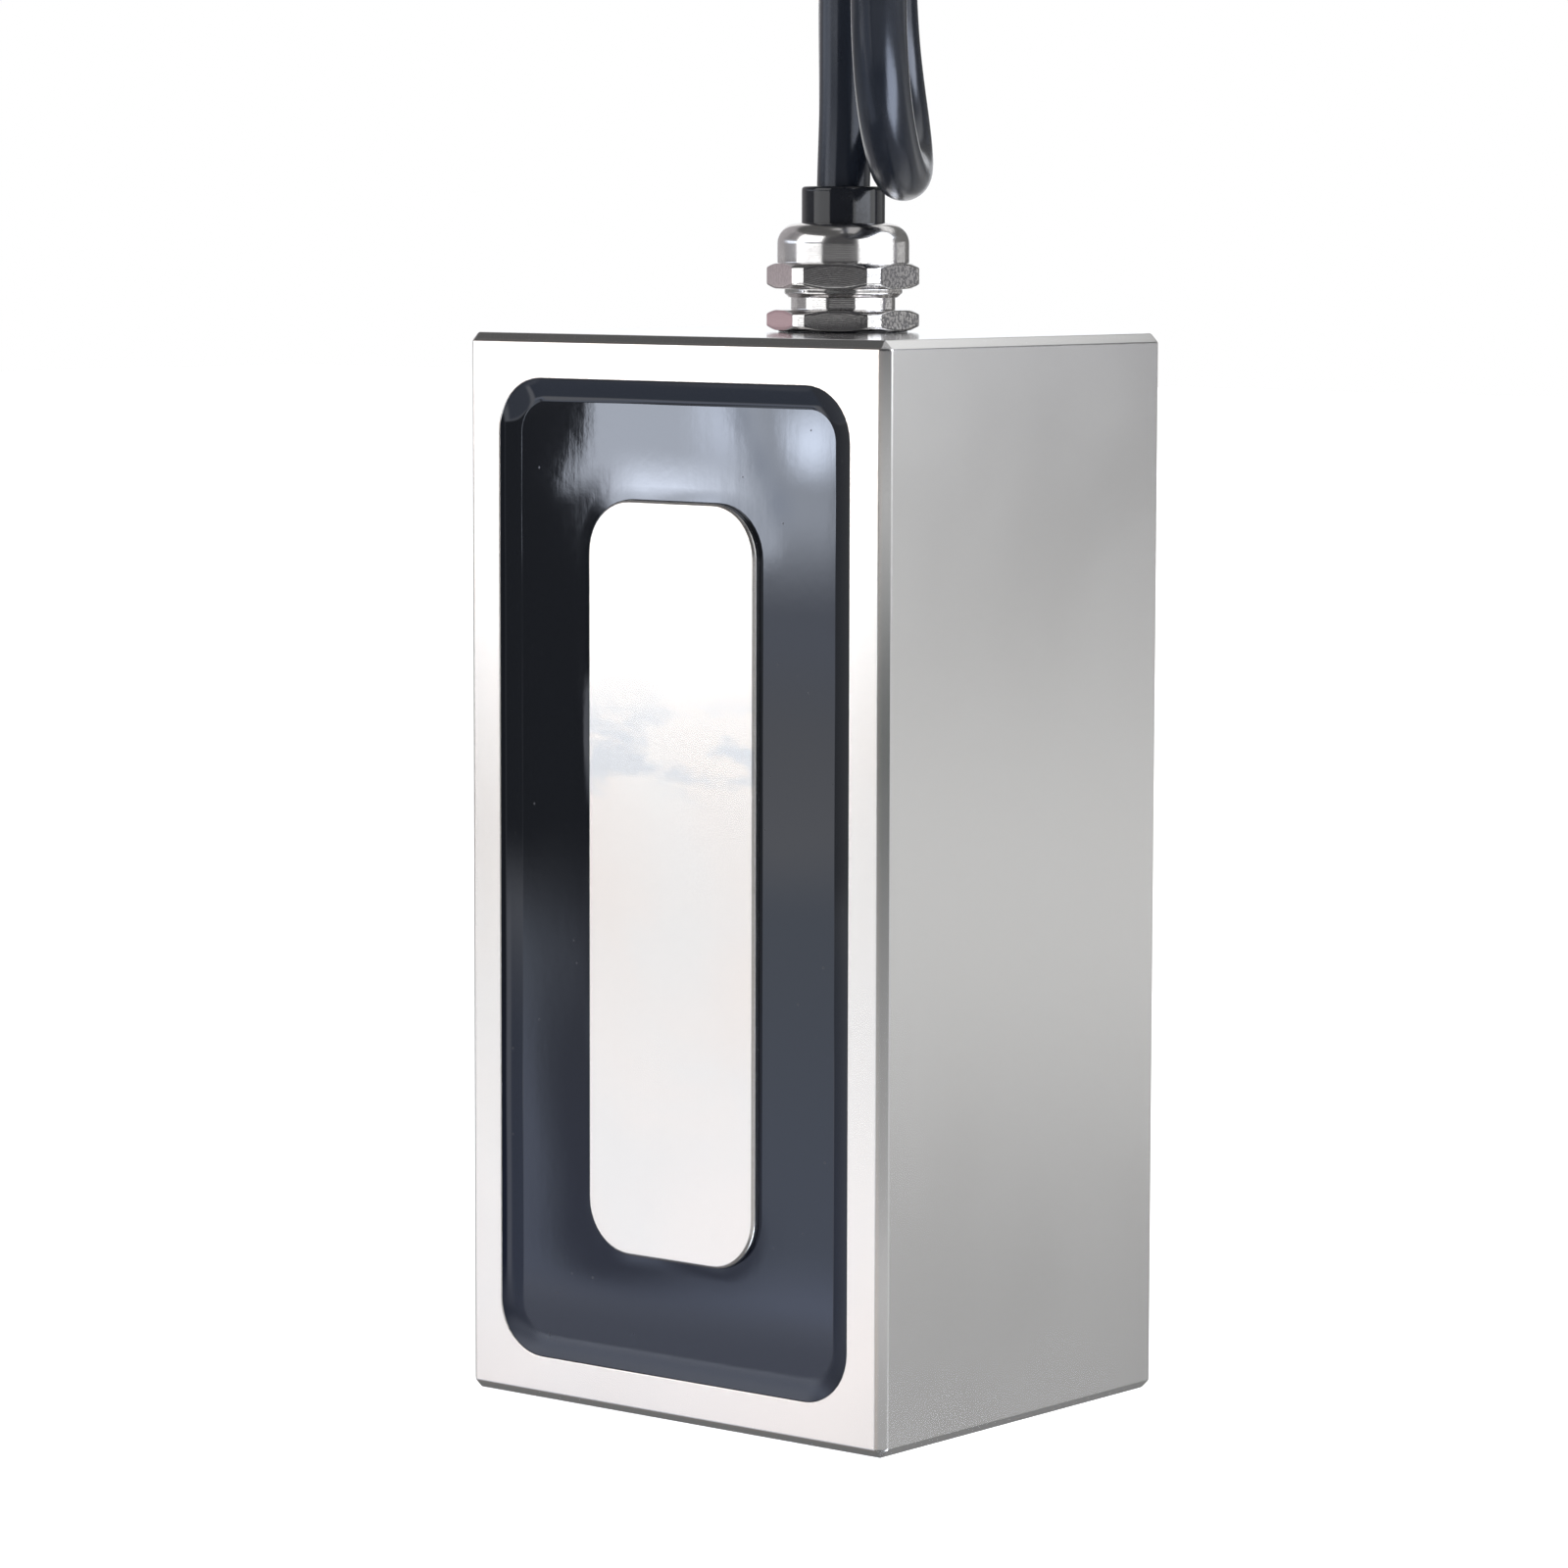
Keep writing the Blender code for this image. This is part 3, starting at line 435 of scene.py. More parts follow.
def castResin(name, values):
    # poured black resin: a skin that is all but level, drawn into long soft waves and fine upright streaks, duller
    # where it was wiped along the lower end, bluer towards that end by a painted reflection, and with a few dust
    # specks
    finish = Finish(name, IOR=values["ior"], Specular_Tint=values["gloss"])
    at = finish.inMillimetres()
    waves = finish.noise(finish.inMillimetres(stretch=(1, 1, 0.45)), 1 / values["waveSize"], 2, 0.4)
    streaks = finish.noise(finish.inMillimetres(stretch=(1, 1, 0.16)), 0.8, 3, 0.55)
    skin = finish.noise(at, 0.9, 3, 0.5)
    dust = 1 - finish.cells(at, 0.34).between(0.02, 0.07)
    height = finish.parts(at)[2]
    wiped = 1 - height.between(*values["wipedTo"])
    # bluer towards the lower end: a reflection painted into the colour
    colour = finish.blend(1 - height.between(*values["paintedBlueReflectionTo"]), values["colour"], values["paintedBlueReflection"])
    finish.set(Base_Color=finish.blend(dust * 0.5, colour, (0.05, 0.05, 0.052)))
    finish.set(Roughness=values["roughness"] + skin * 0.02 + dust * 0.2 + wiped * 0.24)
    soft = finish.bump(streaks, values["streakDepth"], finish.bump(waves, values["waveDepth"]))
    finish.set(Normal=finish.bump(skin + dust * 0.5, values["skinDepth"], soft))
    return finish.owner


def cableSheath(name, values):
    # extruded sheath: fine lines drawn along it by the die, and a slightly uneven gloss
    finish = Finish(name, IOR=1.53, Specular_Tint=values["gloss"])
    along = finish.uvMap((values["lines"], 6, 1))
    lines = finish.noise(along, 1.0, 2, 0.5)
    patches = finish.noise(finish.inMillimetres(), 0.16, 3, 0.5)
    peel = finish.noise(finish.inMillimetres(), 1.6, 2, 0.5)
    finish.set(Base_Color=finish.blend(patches, values["colour"], values["worn"]))
    finish.set(Roughness=values["roughness"] + patches * 0.08 + lines * 0.05)
    drawn = finish.bump(lines, values["lineDepth"])
    finish.set(Normal=finish.bump(peel, values["peelDepth"], drawn))
    return finish.owner


def mouldedPlastic(name, colour, worn, roughness, grain=0.02, size=2.0):
    # moulded rubber or plastic: an even colour with faint scuffs and a fine spark-eroded grain
    finish = Finish(name, IOR=1.5)
    at = finish.inMillimetres()
    scuffs = finish.noise(at, 0.35, 5, 0.65).between(0.5, 0.75)
    texture = finish.noise(at, size * 4, 2, 0.6)
    return finish.mottled(scuffs, colour, worn, roughness, 0.08, texture, grain)


def zincPlate(name):
    # bright zinc with faint bluish clouds and turning marks
    finish = Finish(name, Metallic=1.0)
    at = finish.inMillimetres()
    clouds = finish.noise(at, 0.6, 4, 0.6).between(0.3, 0.7)
    marks = finish.noise(at, 5.0, 3, 0.6)
    return finish.mottled(clouds, (0.50, 0.53, 0.57), (0.64, 0.65, 0.66), 0.3, 0.1, marks, 0.006)


def woundCopper(name, pitch):
    # enamelled wire laid side by side: a round ridge for each turn, and a tone that differs from turn to turn
    finish = Finish(name, Metallic=1.0)
    y = finish.parts(finish.inMillimetres())[1]
    ridge = (y * (tau / pitch)).sine() * 0.5 + 0.5
    tone = finish.noise(finish.inMillimetres(stretch=(0.05, 1 / pitch, 0.05)), 1.0, 1)
    finish.set(Base_Color=finish.blend(tone, (0.50, 0.19, 0.075), (0.72, 0.33, 0.15)))
    finish.set(Roughness=0.24 + ridge * 0.1)
    finish.set(Normal=finish.bump(ridge ** 0.5, 0.15 * mm))
    return finish.owner


def strandedTin(name):
    # tinned strands: bright solder with dull creases between the strands
    finish = Finish(name, Metallic=1.0)
    at = finish.inMillimetres()
    clouds = finish.noise(at, 2.4, 4, 0.6)
    return finish.mottled(clouds, (0.52, 0.52, 0.53), (0.78, 0.78, 0.77), 0.22, 0.25, clouds, 0.02)


def wovenTape(name):
    # amber film tape: faint crossing threads under a glossy skin
    finish = Finish(name, IOR=1.5)
    x, y, z = finish.parts(finish.inMillimetres())
    weave = ((y * 9.0).sine() * ((x + z) * 9.0).sine()) * 0.5 + 0.5
    return finish.mottled(weave, (0.50, 0.36, 0.05), (0.62, 0.48, 0.11), 0.28, 0.12, weave, 0.02)


# cable
cable = {
    "diameter": 6.0, "endEase": 0.25,
    "exit": (0, 5, 136.3),
    "shown": 18, "hidden": 0.018,  # the line's point inside the collar, and about the metres before it
    # up through the gland, over the bight beside it and down behind the block, in millimetres
    "route": [
        (0, 5, 118), (0, 5, 127), (0, 5, 136.3), (0.2, 5.1, 144), (0, 5.4, 152), (0.1, 5.6, 166.6), (2, 4, 174.4),
        (6.1, -0.3, 180), (11.5, -6.2, 181.8), (16.9, -11.9, 179.4), (20.8, -15.9, 173.4), (22.3, -17, 165.4),
        (22, -16.5, 155.5), (19.8, -12.8, 145.6), (15.8, -5.6, 138.9), (10.5, 3, 138), (5.2, 9.2, 143.2),
        (1.8, 11.8, 151.5), (-0.1, 12.8, 166.2), (-2.7, 14.6, 174), (-7.8, 19.4, 178.6), (-13.7, 25.3, 178.2),
        (-18.6, 29.8, 173.1), (-20.7, 31.1, 165), (-20.4, 30.5, 150), (-19.4, 29.3, 134), (-19, 28.8, 118),
        (-19, 28.8, 98), (-19, 28.8, 78), (-18.7, 29.5, 60), (-17.8, 31, 46), (-15.4, 34.8, 34.5),
        (-11.6, 41, 27.2), (-8.9, 48.5, 23.7),
    ],
    "tail": [(-17.6, 30.7, 3.1), (-12.8, 30.2, 3.1), (-8, 30, 3.1)],
    "coilCentre": (-38, 61), "coilRadius": 30, "layer": 6.2, "lowest": 3.1, "passes": 2,
    "easing": 60,  # degrees over which the route's end comes in to the coil's radius
    "ramp": (-25, 60),  # degrees between which each turn comes down one layer
    "tieAngle": 125, "tieLift": 1.35, "tieReach": 22,
    "leaves": 270,  # degrees where the last turn runs out straight
    "colour": (0.0085, 0.0115, 0.018), "worn": (0.0125, 0.0155, 0.0235),
    "gloss": (0.86, 0.90, 1.0), "roughness": 0.13, "lines": 26, "lineDepth": 0.012 * mm, "peelDepth": 0.006 * mm,
}


def coilLine(step=1.0):
    # a helix: its radius eases from the route's end to the coil's, and its height comes down one layer on each
    # ramp, with a low bell-shaped hump where the tie's band passes under it
    cx, cy = cable["coilCentre"]
    x, y, z = cable["route"][-1]
    start = math.degrees(math.atan2(y - cy, x - cx))
    reach = math.hypot(x - cx, y - cy)
    last = cable["leaves"] + 360 * cable["passes"]
    count = round(math.radians(last - start) * cable["coilRadius"] / step)
    angle = np.linspace(start, last, count)
    radius = reach + (cable["coilRadius"] - reach) * smoothStep((angle - start) / cable["easing"])
    low, high = cable["ramp"]
    top = cable["lowest"] + cable["layer"] * cable["passes"]
    height = z + (top - z) * smoothStep((angle - start) / (high - start))
    for turn in range(1, cable["passes"] + 1):
        height -= cable["layer"] * smoothStep((angle - low - 360 * turn) / (high - low))
    away = (angle - cable["tieAngle"] + 180) % 360 - 180
    height += cable["tieLift"] * np.exp(-(away / cable["tieReach"]) ** 2)
    bend = np.radians(angle)
    return np.stack([cx + radius * np.cos(bend), cy + radius * np.sin(bend), height], -1)


def makeCable():
    route = smoothLine(cable["route"], 0.9)
    coil = coilLine()
    tail = smoothLine([tuple(coil[-1]), *cable["tail"]], 0.9)
    line = np.vstack([route, coil[1:], tail[1:]])
    for _ in range(6):  # the joins are eased, and both ends stay where they are
        line[1:-1] = (line[:-2] + 2 * line[1:-1] + line[2:]) / 4
    line *= mm
    radius = np.full((len(line), 1), cable["diameter"] / 2 * mm)
    radius[-1] -= cable["endEase"] * mm  # the cut end's edge is slightly rounded
    return tube("lead", line, radius, 36), line


leadPiece, leadLine = makeCable()


# block and pole
steel = {
    "cool": (0.90, 0.88, 0.86), "plain": (0.915, 0.875, 0.845), "warm": (0.93, 0.86, 0.815), "tint": 0.7,
    "milled": (0.81, 0.808, 0.805), "halves": (30, 25, 60), "chamfer": 1.0, "soft": 0.06,
    "ground": (24.6, 24.95), "top": (119.3, 119.6),  # where the ground face and the top face begin
    "cloudSize": 34, "tintSize": 45, "roughness": 0.22, "grain": 0.0008 * mm, "dimple": 0.0003 * mm,
}
# the pole's own clouds, and the heights and colour of a reflection band painted on its face
poleValues = {  # what the pole has of its own
    "cloudSize": 24, "tintSize": 30, "paintedReflectionBand": (70, 79), "paintedReflectionTint": (0.75, 0.765, 0.79),
}
block = {
    "ease": 0.14 * mm, "sharperThan": 30,  # degrees between two faces
    "threadPitch": 1.25, "threadRadii": (3.4, 3.98), "threadDepth": 9.0, "threadLead": 0.9,
    "back": 25.0, "heights": (20, 100),
}
pole = {"ease": 0.07 * mm, "sharperThan": 30}
capScrew = {"ease": 0.12 * mm, "sharperThan": 40}


def machinedCopy(node, name, settings):
    # the CAD node's triangles are merged into whole flat faces, and its sharp edges get a small easing
    mesh = nodes[node].data.copy()
    work = bmesh.new()
    work.from_mesh(mesh)
    bmesh.ops.remove_doubles(work, verts=work.verts, dist=1e-6)
    bmesh.ops.dissolve_limit(work, angle_limit=math.radians(0.6), verts=work.verts, edges=work.edges)
    work.to_mesh(mesh)
    work.free()
    mesh.shade_smooth()
    item = added(name, mesh)
    edges = item.modifiers.new("edges", "BEVEL")
    edges.width, edges.segments = settings["ease"], 2
    edges.limit_method, edges.angle_limit = "ANGLE", math.radians(settings["sharperThan"])
    edges.use_clamp_overlap = False
    edges.miter_outer = "MITER_ARC"
    return settle(item)


def threadCutter(name, height):
    # a screw thread: radius = inner + (outer - inner) times a rounded triangle wave of height / pitch - angle
    inner, outer = block["threadRadii"]
    sides, steps = 64, 16
    depth = np.arange(0, block["threadDepth"] - block["threadLead"], block["threadPitch"] / steps)
    angle = circle(sides)
    phase = depth[:, None] / block["threadPitch"] - angle[None] / tau
    wave = 0.5 - np.abs(phase % 1 - 0.5)  # 0 at the crest, 0.5 in the root
    radius = inner - 0.02 + (outer - inner + 0.02) * np.clip(wave * 2.4 - 0.15, 0, 1)
    run = np.minimum(np.arange(len(depth)), np.arange(len(depth))[::-1])[:, None] / steps
    radius = np.minimum(radius, inner - 0.02 + (outer - inner) * np.clip(run * 1.6, 0, 1))
    y = np.broadcast_to((block["back"] - block["threadLead"] - depth)[:, None], radius.shape)
    return surface(name, np.stack([radius * np.cos(angle), y, height + radius * np.sin(angle)], -1) * mm)


def makeBlock():
    item = machinedCopy("housing", "milled_block", block)
    for height in block["heights"]:
        cutBy(item, threadCutter("tap", height))
    return flatShading(item)


housingSteel = nickelSteel("satin_nickel_block", steel)
poleSteel = nickelSteel("satin_nickel_pole", {**steel, **poleValues})
place(makeBlock(), housingSteel, "housing_steel", "housing")
place(flatShading(machinedCopy("pole_core", "ground_pole", pole)), poleSteel, "pole_steel", "pole_core")
screwZinc = zincPlate("zinc_plate")
for which in ("upper", "lower"):
    screw = flatShading(machinedCopy("core_screw_" + which, "cap_screw_" + which, capScrew))
    place(screw, screwZinc, "screw_steel", "core_screw_" + which)
print("block, pole and screws made")


# resin
resin = {
    "middle": 60.0, "pole": (24, 84, 6), "slot": (50, 110, 6), "gap": 0.05,  # width, height, corner radius
    "level": -24.1, "bowl": 0.8, "bowlPower": 1.6, "crease": 0.25, "bowlWidth": 2.5,
    "under": -20.8, "back": 11.9, "coilReach": 10.3,  # the space for the coil
    "swell": 0.005,  # how far the skin rolls
    "notch": ((-21.2, -1.2, 102.85), (21.2, 26.0, 121.0)),  # the space for the wires
    # the bluer colour and its heights paint a reflection into the lower resin
    "colour": (0.007, 0.008, 0.0105), "paintedBlueReflection": (0.008, 0.0105, 0.021), "paintedBlueReflectionTo": (14, 66), "wipedTo": (9, 17),
    "gloss": (0.80, 0.86, 1.0), "ior": 1.62, "roughness": 0.012,
    "waveSize": 9, "waveDepth": 0.004 * mm, "streakDepth": 0.0007 * mm, "skinDepth": 0.0006 * mm,
}


def grown(shape, offset):
    width, height, corner = shape
    return roundedRectangle(width + 2 * offset, height + 2 * offset, corner + offset)


def makeResin():
    # a ring with an L-shaped section: level round the pole, then y = level - h (k s + (1 - k) s^p) up the slot's
    # wall, where s is the share of the bowl's width gone, h its rise, p its power and k its crease
    inside, outside = grown(resin["pole"], resin["gap"]), grown(resin["slot"], -resin["gap"])
    bowlStart = resin["gap"] + resin["bowlWidth"]
    flatEnd = grown(resin["slot"], -bowlStart)
    share = np.sort(np.append(np.linspace(0, 1, 15), 0.998))[:, None, None]
    flat = inside + (flatEnd - inside) * share
    s = np.append(0.008, np.linspace(0, 1, 17)[1:] ** 1.6)
    bowl = np.stack([grown(resin["slot"], -bowlStart + reach) for reach in s * resin["bowlWidth"]])
    rise = resin["bowl"] * (resin["crease"] * s + (1 - resin["crease"]) * s ** resin["bowlPower"])
    coil = grown(resin["pole"], resin["coilReach"])
    rings = np.concatenate([flat, bowl, outside[None], outside[None], coil[None], coil[None], inside[None]])
    depth = np.concatenate([
        np.full(len(flat), resin["level"]), resin["level"] - rise,
        [resin["level"] - rise[-1] + 0.25, resin["back"], resin["back"], resin["under"], resin["under"]],
    ])
    y = np.broadcast_to(depth[:, None], rings.shape[:2]).copy()
    x, z = rings[..., 0], rings[..., 1]
    skin = len(flat) + len(bowl)
    rolling = (np.sin(x * 0.31 + z * 0.11 + 1.3) + np.sin(z * 0.17 - x * 0.13) + np.sin(x * 0.12 + z * 0.29 + 2.1))
    fade = np.ones(skin)
    fade[0], fade[len(flat):] = 0, np.linspace(0.8, 0, len(bowl))
    y[:skin] += resin["swell"] * rolling[:skin] * fade[:, None]
    item = surface("cast_resin", np.stack([x, y, z + resin["middle"]], -1) * mm, closed=True)
    low, high = (np.array(corner) * mm for corner in resin["notch"])
    work = bmesh.new()
    stretch = Matrix.Diagonal((*(high - low), 1))
    bmesh.ops.create_cube(work, size=1, matrix=Matrix.Translation((low + high) / 2) @ stretch)
    mesh = bpy.data.meshes.new("notch")
    work.to_mesh(mesh)
    work.free()
    cutBy(item, added("notch", mesh))
    item.data.set_sharp_from_angle(angle=math.radians(50))
    return item


place(makeResin(), castResin("black_casting_resin", resin), "resin", "potting_resin")
print("resin made")


# gland
gland = {
    "axis": (0, 5), "sides": 240,
    "across": 15.66, "corner": 8.6, "chamferAcross": 15.6, "chamferSlope": 30,  # hexagons, in mm and degrees
    "baseTurn": 2.8, "nutTurn": 2.1,
    "stub": 114.9, "base": (120.2, 122.5), "barrel": 5.9, "bore": 4.4, "barrelTop": 127.7,
    "threadPitch": 1.5, "threadDepth": 0.55,
    "lip": (6.2, 6.7, 123.6), "lipChamfer": 0.75, "nut": (124.85, 127.7),
    "dome": 7.45, "domeTop": 132.2, "shoulder": 2.3, "mouth": 5.0, "topWall": 0.7, "cone": 128.0,
    "edge": 0.16,
}


def hexAngles(turn):
    # even steps, and a close pair on each side of the twelve edges, which keeps them crisp
    edge = math.acos(gland["across"] / 2 / gland["corner"])
    close = math.radians(0.3)
    edges = np.array([side + step for side in (-edge, edge) for step in (-close, close)])
    edges = (edges[:, None] + np.arange(6) * tau / 6 + math.radians(turn)).ravel()
    return np.unique(np.round(np.concatenate([circle(gland["sides"]), edges % tau]), 5))


def hexRadius(turn):
    # the distance from the axis to a hexagon whose corners were turned off: (across / 2) / cos(a), where a is the
    # angle from a flat's middle, and never more than the corners' radius
    a = np.abs((hexAngles(turn) - math.radians(turn) + tau / 12) % (tau / 6) - tau / 12)
    return np.minimum(gland["across"] / 2 / np.cos(a), gland["corner"])


def hexRing(turn, low, high):
    # the outline of a chamfered hexagon, from its lower face out, up and in again: the chamfer is a cone, so its
    # height is (hexagon's radius - cone's radius) times the slope
    radius = hexRadius(turn)
    end = np.minimum(gland["chamferAcross"] / 2, radius - 0.1)
    drop = (radius - end) * math.tan(math.radians(gland["chamferSlope"]))
    return [np.stack([r, np.broadcast_to(z, r.shape)], -1)
            for r, z in ((end, low), (radius, low + drop), (radius, high - drop), (end, high))]


def level(turn, radius, height):
    return np.broadcast_to(np.array([radius, height], float), (len(hexAngles(turn)), 2))


def thread(turn, low, high):
    # a thread's crests and roots, radius = barrel - depth times a rounded triangle wave of height / pitch - angle
    height = np.arange(low, high, gland["threadPitch"] / 10)
    phase = height[:, None] / gland["threadPitch"] - hexAngles(turn)[None] / tau
    wave = np.clip(np.abs(phase % 1 - 0.5) * 2.4 - 0.2, 0, 1)
    ends = np.clip(np.minimum(height - low, high - height) / 0.5, 0, 1)[:, None]
    radius = gland["barrel"] - gland["threadDepth"] * wave * ends
    return np.stack([radius, np.broadcast_to(height[:, None], radius.shape)], -1)


def makeGlandBody():
    turn, (low, high) = gland["baseTurn"], gland["base"]
    barrel, bore, top, stub = (gland[key] for key in ("barrel", "bore", "barrelTop", "stub"))
    corners = np.stack([
        level(turn, barrel, low), *hexRing(turn, low, high),
        *(level(turn, *corner) for corner in (
            (barrel, high), (barrel, high + 0.9), (barrel, top - 0.3), (barrel - 0.3, top), (bore, top), (bore, stub),
            (barrel - 0.5, stub), (barrel, stub + 0.5))),
    ])
    radii = [0.02, 0.1, gland["edge"], gland["edge"], 0.1, 0.1, 0.02, 0.1, 0.1, 0.1, 0.1, 0.1, 0.1]
    outline = np.concatenate([eased(corners, radii, 3), thread(turn, stub + 0.6, low - 0.15)])
    return roundAxis("gland_base", outline * mm, gland["axis"], hexAngles(turn))


def makeDomeNut():
    turn, (low, high) = gland["nutTurn"], gland["nut"]
    inner, outer, lipLow = gland["lip"]
    dome, top, r = gland["dome"], gland["domeTop"], gland["shoulder"]
    bottom = lipLow + inner - (outer - gland["lipChamfer"])
    corners = np.stack([
        level(turn, inner, bottom), level(turn, outer, lipLow + gland["lipChamfer"]), level(turn, outer, low),
        *hexRing(turn, low, high), level(turn, dome, high), level(turn, dome, top - r),
    ])
    radii = [0.06, 0.12, 0.08, 0.1, gland["edge"], gland["edge"], 0.1, 0.1, 0]
    outline = eased(corners, radii, 3)[:-4]
    bend = np.linspace(0, tau / 4, 17)
    shoulder = np.stack([dome - r + r * np.cos(bend), top - r + r * np.sin(bend)], -1)
    mouth = gland["mouth"]
    inside = np.array([(mouth + 0.12, top), (mouth, top - 0.12), (mouth, top - gland["topWall"]),
                       (inner, gland["cone"]), (inner, bottom + 0.1)])
    rest = np.repeat(np.vstack([shoulder, inside])[:, None], outline.shape[1], 1)
    return roundAxis("dome_nut", np.concatenate([outline, rest]) * mm, gland["axis"], hexAngles(turn))


brightNickel = nickelBrass("bright_nickel")
place(makeGlandBody(), brightNickel, "gland_nickel", "gland_body")
place(makeDomeNut(), brightNickel, "gland_nickel", "gland_dome_nut")

blackRubber = mouldedPlastic("black_rubber", (0.010, 0.0115, 0.016), (0.016, 0.0175, 0.022), 0.10, 0.002, 1.2)
rubberRings = {  # outer and inner radius, low and high, and the easing of each corner
    "gland_gasket": ("flat_gasket", 7.3, 6.2, 120.04, 120.18, [0.05, 0.05, 0.05, 0.05]),
    "cable_sleeve": ("rubber_collar", 4.7, 3.3, 131.5, 136.3, [0.45, 0.2, 0.2, 0.3]),
}
for node, (name, outer, inner, low, high, radii) in rubberRings.items():
    ring = turned(name, [(outer, high), (outer, low), (inner, low), (inner, high)], radii, gland["axis"])
    place(ring, blackRubber, "rubber", node)
print("gland made")


# cable tie and bare end
tie = {
    "centre": cable["coilCentre"], "radius": cable["coilRadius"], "angle": cable["tieAngle"],
    "height": 10.9, "inner": (7.2, 19.6, 1.5),  # the band's middle, and its hole's width, height and corner radius
    "thickness": 0.9, "width": 3.6, "edge": 0.15, "rim": 0.7, "rib": 0.09,
    "head": (4.4, 4.4, 4.4), "tail": (3.4, 1.0, 2.4),
}
bareEnd = {
    "start": (-7.7, 30, 3.1), "wire": 1.8, "near": 1.1, "fan": 1.6, "length": 20, "low": 1.2,
    "tipWire": 1.2, "tipLength": 6, "gap": 0.3, "strands": 7, "twist": 1.4,
}


def tieFrame():
    a = math.radians(tie["angle"])
    outward = np.array([math.cos(a), math.sin(a), 0])
    return outward, np.array([-outward[1], outward[0], 0]), np.array([0, 0, 1.0])


def makeTie():
    # a flat section carried round a rounded rectangle, with a fine rib across its inner side at each step
    outward, sideways, up = tieFrame()
    centre = np.array([*tie["centre"], tie["height"]]) + outward * tie["radius"]
    width, height, corner = tie["inner"]
    half = tie["width"] / 2
    inner = roundedRectangle(width, height, corner, 10, (14, 40))
    outer = roundedRectangle(width + 2 * tie["thickness"], height + 2 * tie["thickness"], corner + tie["thickness"],
                             10, (14, 40))
    normal = (outer - inner) / tie["thickness"]
    ribs = tie["rib"] * (0.5 - 0.5 * np.cos(np.arange(len(inner)) * tau / 3))
    edge, rim, thick = tie["edge"], tie["rim"], tie["thickness"]
    section = np.array([
        (-half, edge), (-half + edge, 0), (-half + rim, 0), (half - rim, 0), (half - edge, 0),
        (half, edge), (half, thick - edge), (half - edge, thick), (-half + edge, thick), (-half, thick - edge),
    ])
    out = np.repeat(section[:, 1][None], len(inner), 0)
    out[:, 2:4] += ribs[:, None]
    flat = inner[:, None] + normal[:, None] * out[..., None]
    points = (centre + flat[..., :1] * outward + flat[..., 1:] * up
              + section[None, :, :1] * np.ones_like(out)[..., None] * sideways)
    band = surface("tie_band", points * mm, closed=True)
    return flatShading(band)


def softBlock(name, centre, size, axes, hardness=0.22, rings=33, sides=48):
    # a block with rounded edges: along each axis half the size times the sine or cosine raised to a small power
    polar = np.linspace(-tau / 4, tau / 4, rings)[1:-1, None]
    angle = circle(sides)[None]

    def power(value):
        return np.sign(value) * np.abs(value) ** hardness

    shape = np.stack([power(np.cos(polar)) * power(np.cos(angle)), power(np.cos(polar)) * power(np.sin(angle)),
                      power(np.sin(polar)) * np.ones_like(angle)], -1) * np.array(size) / 2
    return surface(name, (np.array(centre) + shape @ np.array(axes)) * mm)


def makeTieHead():
    outward, sideways, up = tieFrame()
    reach = tie["radius"] + tie["inner"][0] / 2 + tie["thickness"] / 2 + tie["head"][0] / 2
    middle = np.array([*tie["centre"], tie["height"]]) + outward * reach
    axes = (outward, sideways, up)
    head = softBlock("tie_head", middle, tie["head"], axes)
    stubSize = tie["tail"]
    stub = softBlock("tie_stub", middle + up * (tie["head"][2] / 2 + stubSize[0] / 2 - 0.3) - outward * 0.6,
                     (stubSize[1], stubSize[2], stubSize[0]), axes)
    return head, stub


def makeCore(name, side):
    x, y, z = bareEnd["start"]
    near, far = side * bareEnd["near"], side * (bareEnd["near"] + bareEnd["fan"])
    length, low = bareEnd["length"], bareEnd["low"]
    line = smoothLine([(x, y + near, z), (x + length * 0.25, y + near, z - 0.4),
                       (x + length * 0.65, y + (near + far) / 2, low), (x + length, y + far, low)], 0.4) * mm
    radius = np.full((len(line), 1), bareEnd["wire"] / 2 * mm)
    radius[[0, -1]] -= 0.12 * mm
    away = line[-1] - line[-2]
    return tube("core_" + name, line, radius, 24), away / np.linalg.norm(away)


def makeTip(name, start, away):
    # bare strands twisted together: radius = r (0.93 + 0.09 |cos(strands / 2 * (angle - twist * way along))|)
    steps = np.linspace(0, bareEnd["tipLength"], 60)
    line = (start + away * bareEnd["gap"] * mm)[None] + steps[:, None] * away[None] * mm
    angle = circle(56)[None]
    wave = np.abs(np.cos(bareEnd["strands"] / 2 * (angle - bareEnd["twist"] * steps[:, None])))
    radius = bareEnd["tipWire"] / 2 * (0.93 + 0.09 * wave)
    radius = radius * np.clip((bareEnd["tipLength"] - steps[:, None]) / 0.3 + 0.6, 0, 1)
    return tube("tip_" + name, line, radius * mm, 56)


